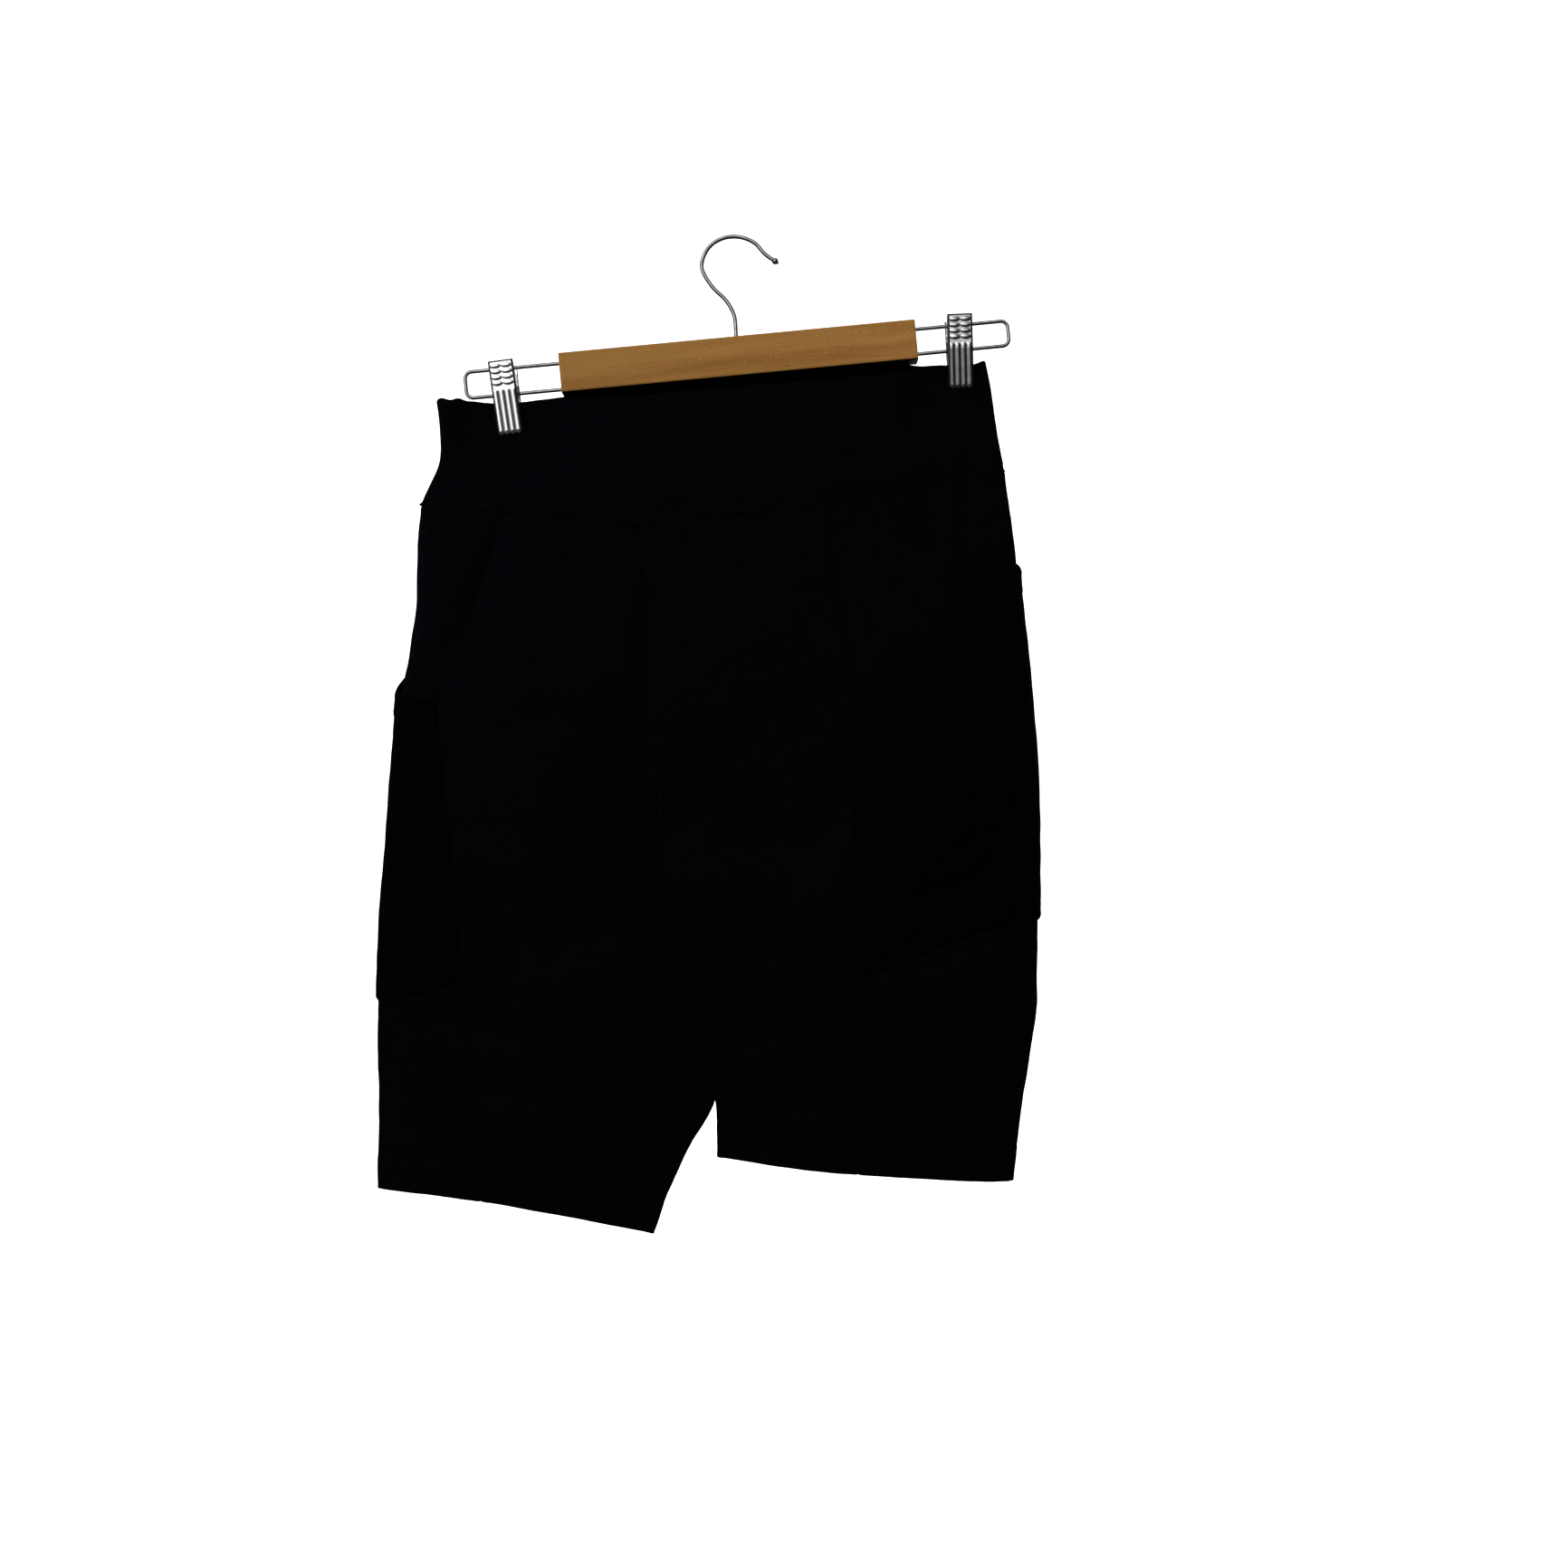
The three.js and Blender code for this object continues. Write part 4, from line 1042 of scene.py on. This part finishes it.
hems, seams, pockets = Mesh(), Mesh(), Mesh()
for half in HANDED:
    front, side, back = (cloths[half, name] for name in ("front", "side", "back"))
    for cloth in (front, side, back):
        for row in HEM_ROWS:
            straight(hems, cloth.line("bottom", row))
    # the front and rear side seams are flat seams, with a row each side and threads across
    for a, b in ((front, side), (side, back)):
        one, two = a.line("right", FLATLOCK), b.line("left", FLATLOCK)
        straight(seams, one)
        straight(seams, two)
        zigzag(seams, one, two)
    pocket = cloths[half, "pocket"]
    for row in MOUTH_ROWS:
        straight(pockets, pocket.line("top", row))
    straight(pockets, pocket.line("bottom", 2.4))
straight(seams, cloths["band"].line("bottom", 2.2), radius=0.18)
threads = {name: mesh.make(f"{name}_threads", thread, "jersey")
           for name, mesh in (("hem", hems), ("seam", seams), ("pocket", pockets))}

# ---------------------------------------------------------------- hard parts


def tube(path, radius, sides=16, across=(0.0, 1.0, 0.0)):
    """A round wire along a path, with rounded ends."""
    path = np.asarray(path, float)
    radii = np.full(len(path), float(radius)) if np.isscalar(radius) else np.asarray(radius, float)
    along = unit(np.gradient(path, axis=0))
    caps = np.radians([90, 70, 45, 20])
    first = [path[0] - along[0] * radii[0] * math.sin(a) for a in caps]
    last = [path[-1] + along[-1] * radii[-1] * math.sin(a) for a in caps[::-1]]
    near_zero = 0.02
    radii = np.concatenate([radii[0] * np.maximum(np.cos(caps), near_zero), radii,
                            radii[-1] * np.maximum(np.cos(caps[::-1]), near_zero)])
    path = np.concatenate([first, path, last])
    along = np.concatenate([np.repeat(along[:1], 4, 0), along, np.repeat(along[-1:], 4, 0)])
    up = np.broadcast_to(np.asarray(across, float), path.shape)
    up = unit(up - along * np.sum(up * along, axis=-1, keepdims=True))
    angle = np.linspace(0, ROUND_TURN, sides, endpoint=False)[None, :, None]
    ring = up[:, None] * np.cos(angle) + np.cross(along, up)[:, None] * np.sin(angle)
    return capped(path[:, None] + ring * radii[:, None, None], turned=True)


def smooth_path(points, count):
    """An even path through points, with no overshoot between near ones."""
    p = np.asarray(points, float)
    p = np.concatenate([[2 * p[0] - p[1]], p, [2 * p[-1] - p[-2]]])
    gap = np.linalg.norm(np.diff(p, axis=0), axis=-1) ** 0.5
    found = []
    for i in range(1, len(p) - 2):
        (a, b, c, d), (ta, tb, tc) = p[i - 1:i + 3], gap[i - 1:i + 2]
        m1 = ((b - a) / ta - (c - a) / (ta + tb) + (c - b) / tb) * tb
        m2 = ((c - b) / tb - (d - b) / (tb + tc) + (d - c) / tc) * tb
        t = np.linspace(0, 1, 24, endpoint=i == len(p) - 3)[:, None]
        found.append(b + m1 * t + (-3 * b + 3 * c - 2 * m1 - m2) * t**2 + (2 * b - 2 * c + m1 + m2) * t**3)
    return evenly(np.concatenate(found), count)


def in_frame(points, x, z, lean):
    """From a part's own frame, turned by lean so that its foot swings towards +X, to the object's."""
    px, py, pz = np.asarray(points, float).T
    return np.stack([x + px * math.cos(lean) - pz * math.sin(lean), py,
                     z + px * math.sin(lean) + pz * math.cos(lean)], axis=-1)


root = in_frame([(0, 0, BAR["tall"] / 2 - HOOK_SOCKET)], BAR["x"], BAR["z"], TILT)[0]
hook = Mesh()
hook_path = smooth_path([root, *((x, 0, z) for x, z in HOOK_ROUTE)], 170)
hook.add(*tube(hook_path, HOOK_RADIUS, 18))
tip, aim = hook_path[-1], unit(hook_path[-1] - hook_path[-4])
ball = [tip + aim * d for d in np.linspace(-2.0, 1.6, 13)]
ball_radii = [1.36, 1.5, 1.75, 1.98, 2.12, 2.2, 2.22, 2.18, 2.08, 1.9, 1.66, 1.34, 0.9]
hook.add(*tube(ball, ball_radii, 18))
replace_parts(hook.make("hook_wire", steel, "wire"), "hanger_hook")

for side, end in HANDED.items():
    start = end * (BAR["long"] / 2 - LOOP["socket"])
    reach, top, bottom = LOOPS[side].values()
    far = end * (BAR["long"] / 2 + reach - WIRE_RADIUS)
    turn_x, r = far - end * LOOP["corner"], LOOP["corner"]
    angles = np.linspace(0, math.pi / 2, 14)
    path = [(x, 0, top) for x in np.linspace(start, turn_x, 40)[:-1]]
    path += [(turn_x + end * r * math.sin(a), 0, top - r * (1 - math.cos(a))) for a in angles]
    path += [(far, 0, z) for z in np.linspace(top - r, bottom + r, 8)[1:-1]]
    path += [(turn_x + end * r * math.cos(a), 0, bottom + r * (1 - math.sin(a))) for a in angles]
    path += [(x, 0, bottom) for x in np.linspace(turn_x, start, 40)[1:]]
    points, faces = tube(path, WIRE_RADIUS, 16)
    loop = Mesh()
    loop.add(in_frame(points, BAR["x"], BAR["z"], TILT), faces)
    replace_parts(loop.make(f"loop_{side}_wire", steel, "wire"), f"wire_loop_{side}")

SHEET = 0.6  # thickness of a jaw's plate
OVALS = (3.3, 7.0, 10.7, 14.4)  # how far down the jaw each pair lies
OVAL = {"x": 3.55, "wide": 3.05, "tall": 1.45}
RIB_TOP = 18.2
RIB_PITCH = 3.75
JAW_CORNER = 0.9
FLANGE = ((0, 3, 16, 40, 48), (1.2, 2.6, 2.8, 2.0, 1.0))  # how deep the jaw's sides are, down its length
SCALLOP = 0.45
# painted shade over the ribs: the right clip's ribs are darkened for the duller light on them
RIB_SHADE_BY_SIDE = {"left": 0.0, "right": 0.7}  # how dark the ribs are all over


def jaw(rib_shade):
    """The outer and inner sides of an embossed plate in the clip's frame, and how much painted shade each
    point gets.
    """
    profile = smooth_profile(np.array([
        (-CLIP["top_y"], CLIP["top"]), (-CLIP["bend_y"], CLIP["bend"]),
        (-CLIP["tip_y"], CLIP["tip"] + 1.2), (-CLIP["tip_y"] + 1.1, CLIP["tip"] + 0.3)]))
    runs = lengths(profile)
    down = unit(np.gradient(profile, axis=0))
    inward = np.stack([-down[:, 1], down[:, 0]], axis=-1)
    half, corner = CLIP["wide"] / 2, JAW_CORNER
    bends = np.linspace(0, math.pi / 2, 5)[1:-1]
    edge_x = np.concatenate([[half] * 3, half - corner * (1 - np.cos(bends))])
    edge_deep = np.concatenate([np.zeros(3), corner * (1 - np.sin(bends))])
    x = np.concatenate([-edge_x, np.linspace(-(half - corner), half - corner, 61), edge_x[::-1]])
    deep = np.zeros((len(runs), len(x)))
    deep[:, :len(edge_deep)] = edge_deep
    flange = np.interp(runs, *FLANGE)
    deep[:, 0], deep[:, 1], deep[:, 2] = flange, mix(corner, flange, 0.5), corner
    deep[:, -len(edge_deep):] = deep[:, len(edge_deep) - 1::-1]
    across, run = np.meshgrid(x, runs)
    raised, hollow = emboss(across, run, runs[-1], rib_shade)
    flat = np.abs(across) < half - corner + 0.01
    deep = deep - raised * flat
    wave = np.cos(ROUND_TURN * (across - RIB_PITCH / 2) / RIB_PITCH)
    scallop = SCALLOP * wave * smooth((run - runs[-1] + 3) / 3)
    outer = np.stack([across, profile[:, None, 0] + inward[:, None, 0] * deep,
                      profile[:, None, 1] + inward[:, None, 1] * deep - scallop], axis=-1)
    normals = unit(np.cross(np.gradient(outer, axis=1), np.gradient(outer, axis=0)))
    inner = outer - normals * SHEET * np.sign(np.mean(normals[..., 1]) * -1)
    # painted shade: the bent edges and flanges are painted dark
    return outer, inner, mix(0.93, hollow, flat)


def smooth_profile(corners):
    """A line through corners, rounded at each."""
    fine = [corners[0]]
    for a, b, c in zip(corners, corners[1:], corners[2:]):
        r = min(1.6, np.linalg.norm(b - a) / 2.2, np.linalg.norm(c - b) / 2.2)
        p, q = b + unit(a - b) * r, b + unit(c - b) * r
        fine += [mix(mix(p, b, t), mix(b, q, t), t) for t in np.linspace(0, 1, 6)]
    fine.append(corners[-1])
    return evenly(np.array(fine), 128)


def emboss(x, run, total, rib_shade):
    """How far the plate stands out, and how much painted shade each point gets: in the pattern's hollows,
    below the ovals, at the tip, along the rims and over the ribs where asked.
    """
    raised, hollow = np.zeros_like(x), np.zeros_like(x)
    for middle in OVALS:
        for side in (-1, 1):
            q = ((x - side * OVAL["x"]) / OVAL["wide"]) ** 2 + ((run - middle) / OVAL["tall"]) ** 2
            raised += 0.75 * np.sqrt(clamp(1 - q))
            # painted shade: a dark ring round the lower side of each oval
            hollow = np.maximum(hollow, bell(q - 1.15, 0.38) * smooth((run - middle + 0.7) / 0.9))
    rib = (0.5 + 0.5 * np.cos(ROUND_TURN * (x - RIB_PITCH / 2) / RIB_PITCH)) ** 0.55
    starts = smooth((run - RIB_TOP) / 1.6 + 0.2)
    stops = smooth((total - 1.6 - run) / 1.4)
    raised += 0.7 * rib * starts * stops
    # painted shade in the grooves between the ribs, at the tip and along the top and side rims
    grooves = (1 - rib) ** 2.2 * smooth((run - RIB_TOP) / 1.5)
    tip = smooth((run - (total - 2.4)) / 1.2) * 0.92
    # painted shade over the ribs, as far as asked for this clip
    ribs = rib_shade * smooth((run - RIB_TOP - 1.5) / 3)
    top_rim, side_rims = smooth((1.3 - run) / 0.6), smooth((np.abs(x) - 6.6) / 0.4)
    return raised, clamp(np.max([hollow, grooves, tip, ribs, top_rim, side_rims], axis=0))


def shell_faces(rows, columns):
    """Faces of a closed sheet made of an outer and an inner grid."""
    outer = grid_faces(rows, columns)
    size = rows * columns
    (j, i), = edges(rows, columns)
    loop = j * columns + i
    ahead = np.roll(loop, -1)
    rim = np.stack([ahead, loop, loop + size, ahead + size], axis=-1)
    return np.concatenate([outer, outer[:, ::-1] + size, rim])


def ear(x, wall, turned):
    """A D-shaped side plate from the jaw to the pin, in the clip's frame, for the front jaw."""
    root_y = -CLIP["bend_y"] + SHEET
    angles = np.radians(np.linspace(-90, 90, 17))
    outline = [(root_y, -EAR["tall"] / 2 + 1), (-2.5, -EAR["nose"])]
    outline += [(EAR["nose"] * math.cos(a), EAR["nose"] * math.sin(a)) for a in angles]
    outline += [(-2.5, EAR["nose"] + 0.6), (root_y, EAR["tall"] / 2)]
    rings = []
    for depth, inset in ((-wall / 2, 0.2), (-wall / 2 + 0.2, 0), (wall / 2 - 0.2, 0), (wall / 2, 0.2)):
        ring = np.array(outline)
        middle = ring.mean(0)
        ring = ring - unit(ring - middle) * inset
        rings.append(np.column_stack([np.full(len(ring), x + depth), ring]))
    return capped(rings, turned)


def lathe_x(profile, sides=24):
    """A round part about the x axis, from (x, radius) pairs."""
    x, radius = np.array(profile, float).T[..., None]
    angle = np.linspace(0, ROUND_TURN, sides, endpoint=False)
    rings = np.stack([x + 0 * angle, radius * np.cos(angle), radius * np.sin(angle)], axis=-1)
    return capped(rings, turned=True)


def spring_path():
    """A coil round the pin, with an arm to each jaw."""
    radius, half, turns = 2.25, 3.6, 7.25
    a = np.linspace(0, ROUND_TURN * turns, 150)
    coil = np.stack([np.linspace(-half, half, len(a)), -radius * np.cos(a), radius * np.sin(a)], axis=-1)
    arms = []
    for end, y in ((coil[0], -6.4), (coil[-1], 6.4)):
        foot = np.array([end[0], y, 8.6])
        arms.append([mix(foot, end, t) for t in np.linspace(0, 0.94, 8)])
    return np.concatenate([arms[0], coil, arms[1][::-1]])


for side, clip in CLIPS.items():
    place = (clip["x"], clip["z"], clip["lean"])
    for face, name in ((-1, "front"), (1, "back")):
        outer, inner, hollow = jaw(RIB_SHADE_BY_SIDE[side])
        piece = Mesh()
        sheet = np.concatenate([outer.reshape(-1, 3), inner.reshape(-1, 3)])
        faces = shell_faces(*hollow.shape)
        # painted shade on the plate's outer side only
        shade = np.concatenate([hollow.ravel(), np.zeros(hollow.size)])
        flip = np.array([1, -face, 1])
        piece.add(in_frame(sheet * flip, *place), faces[:, ::-1] if face > 0 else faces, shade=shade)
        inset = EAR["wall"] / 2 if face < 0 else EAR["wall"] * 1.5 + 0.3
        for hand in (-1, 1):
            points, faces = ear(hand * (CLIP["wide"] / 2 - inset), EAR["wall"], face > 0)
            piece.add(in_frame(points * flip, *place), faces)
        # painted shade: the right clip takes the darker copy of the nickel
        plating = nickel if side == "left" else shaded_nickel
        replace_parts(piece.make(f"jaw_{name}_{side}", plating, "nickel"), f"clip_{name}_{side}")
    pin = Mesh()
    reach = CLIP["wide"] / 2
    head = [(reach + out, radius) for out, radius in PIN_HEAD]
    points, faces = lathe_x([(-x, r) for x, r in head[::-1]] + head)
    pin.add(in_frame(points, *place), faces)
    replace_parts(pin.make(f"pin_{side}", nickel, "nickel"), f"clip_pin_{side}")
    coil = Mesh()
    points, faces = tube(spring_path(), 0.42, 10, across=(1.0, 0.0, 0.0))
    coil.add(in_frame(points, *place), faces)
    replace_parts(coil.make(f"spring_{side}", steel, "wire"), f"clip_spring_{side}")

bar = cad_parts["hanger_bar"]
bar.data.materials.clear()
bar.data.materials.append(wood)

# ---------------------------------------------------------------- what each sheet was cut to

# flat width and length in metres
CUTS = {
    ("left", "front"): (0.150, 0.470),
    ("right", "front"): (0.145, 0.450),
    ("left", "side"): (0.180, 0.470),
    ("right", "side"): (0.190, 0.470),
    ("left", "back"): (0.180, 0.480),
    ("right", "back"): (0.200, 0.480),
    ("left", "pocket"): (0.170, 0.250),
    ("right", "pocket"): (0.185, 0.250),
}
for key, flat in CUTS.items():
    half, name = key
    min(cloths[key].area(), flat[0] * flat[1])

# ---------------------------------------------------------------- studio

CAMERA = (0.0317, -1.0, -0.3527)
VIEW_WIDTH = 1.0164
SENSOR = 36.0
FLOOR = -1.3
LIT_FROM = (-0.42, -0.80, 0.43)


def room():
    """A pale floor that curves up into a wall and a ceiling all round the object."""
    wall, ceiling, bend = 2.3, 2.2, 0.6
    turn = np.radians(np.linspace(0, 90, 13))
    line = [(0.001, FLOOR), (0.8, FLOOR)]
    line += [(wall - bend + bend * math.sin(a), FLOOR + bend * (1 - math.cos(a))) for a in turn]
    line += [(wall - bend + bend * math.cos(a), ceiling - bend + bend * math.sin(a)) for a in turn]
    line.append((0.001, ceiling))
    sides = 96
    angle = np.linspace(0, ROUND_TURN, sides, endpoint=False)
    points = [(r * math.cos(a), r * math.sin(a), z) for r, z in line for a in angle]
    data = smooth_mesh("studio_room", points, grid_faces(len(line), sides, wrap=True).tolist())
    g = Graph("studio_paint", Specular_IOR_Level=0.0, Emission_Strength=0.9)
    place = g.node("ShaderNodeTexCoord", out=3)
    paint = g.ramp(g.noise(place, 3, 2), (0.3, (0.97,) * 3), (0.7, (1,) * 3))
    g.put(g.shader.inputs["Emission Color"], paint)
    data.materials.append(g.finish((0.5, 0.5, 0.5, 1), 0.9))
    made_room = linked("studio_room", data)
    made_room.visible_diffuse = made_room.visible_glossy = made_room.visible_shadow = False


def area_light(name, place, target, size, power):
    """A soft lamp that lights cloth and wood, and doesn't show in the metals."""
    data = bpy.data.lights.new(name, "AREA")
    data.shape = "RECTANGLE"
    data.size, data.size_y = size
    data.energy = power
    light = linked(name, data)
    light.location = place
    light.rotation_euler = (Vector(target) - Vector(place)).to_track_quat("-Z", "Y").to_euler()
    light.visible_camera = light.visible_glossy = False


def lobe(nodes, place, toward, *stops):
    """Light that is brightest from one direction."""
    toward = Vector(toward).normalized()
    share = nodes.node("ShaderNodeVectorMath", place, toward, out=1, operation="DOT_PRODUCT")
    share = nodes.node("ShaderNodeMapRange", share, -1)
    return nodes.ramp(share, *((where, (value,) * 3) for where, value in stops))


def soft_surroundings():
    """Soft light from in front, a little above, and some from above and behind."""
    world = bpy.data.worlds.new("studio")
    world.use_nodes = True
    nodes = Nodes(world.node_tree)
    place = nodes.node("ShaderNodeTexCoord")
    front = lobe(nodes, place, LIT_FROM, (0.0, 0.02), (0.7, 0.04), (0.84, 0.22), (0.92, 1.1), (1.0, 2.2))
    rear = lobe(nodes, place, (0.35, 0.75, 0.55), (0.0, 0.0), (0.6, 0.0), (0.8, 0.35), (1.0, 0.8))
    both = nodes.node("ShaderNodeVectorMath", front, rear)
    nodes.put(nodes.tree.nodes["Background"].inputs[0], both)
    bpy.context.scene.world = world


room()
soft_surroundings()
area_light("key", (-1.05, -1.15, 0.6), (0.05, 0, -0.12), (0.55, 0.55), 84)
area_light("second", (1.5, -0.35, 0.15), (0.1, 0, -0.3), (0.4, 0.7), 32)
area_light("rear_key", (1.1, 1.0, 0.6), (0, 0, -0.2), (0.7, 0.7), 95)
area_light("rear_second", (-1.4, 0.6, 0.1), (0, 0, -0.3), (0.4, 0.7), 45)
bpy.context.scene.view_settings.view_transform = "Standard"

lens = bpy.data.cameras.new("camera")
lens.sensor_width = SENSOR
lens.lens = SENSOR * abs(CAMERA[1]) / VIEW_WIDTH
camera = linked("camera", lens)
camera.location = CAMERA
camera.rotation_euler = (math.pi / 2, 0, 0)
bpy.context.scene.camera = camera
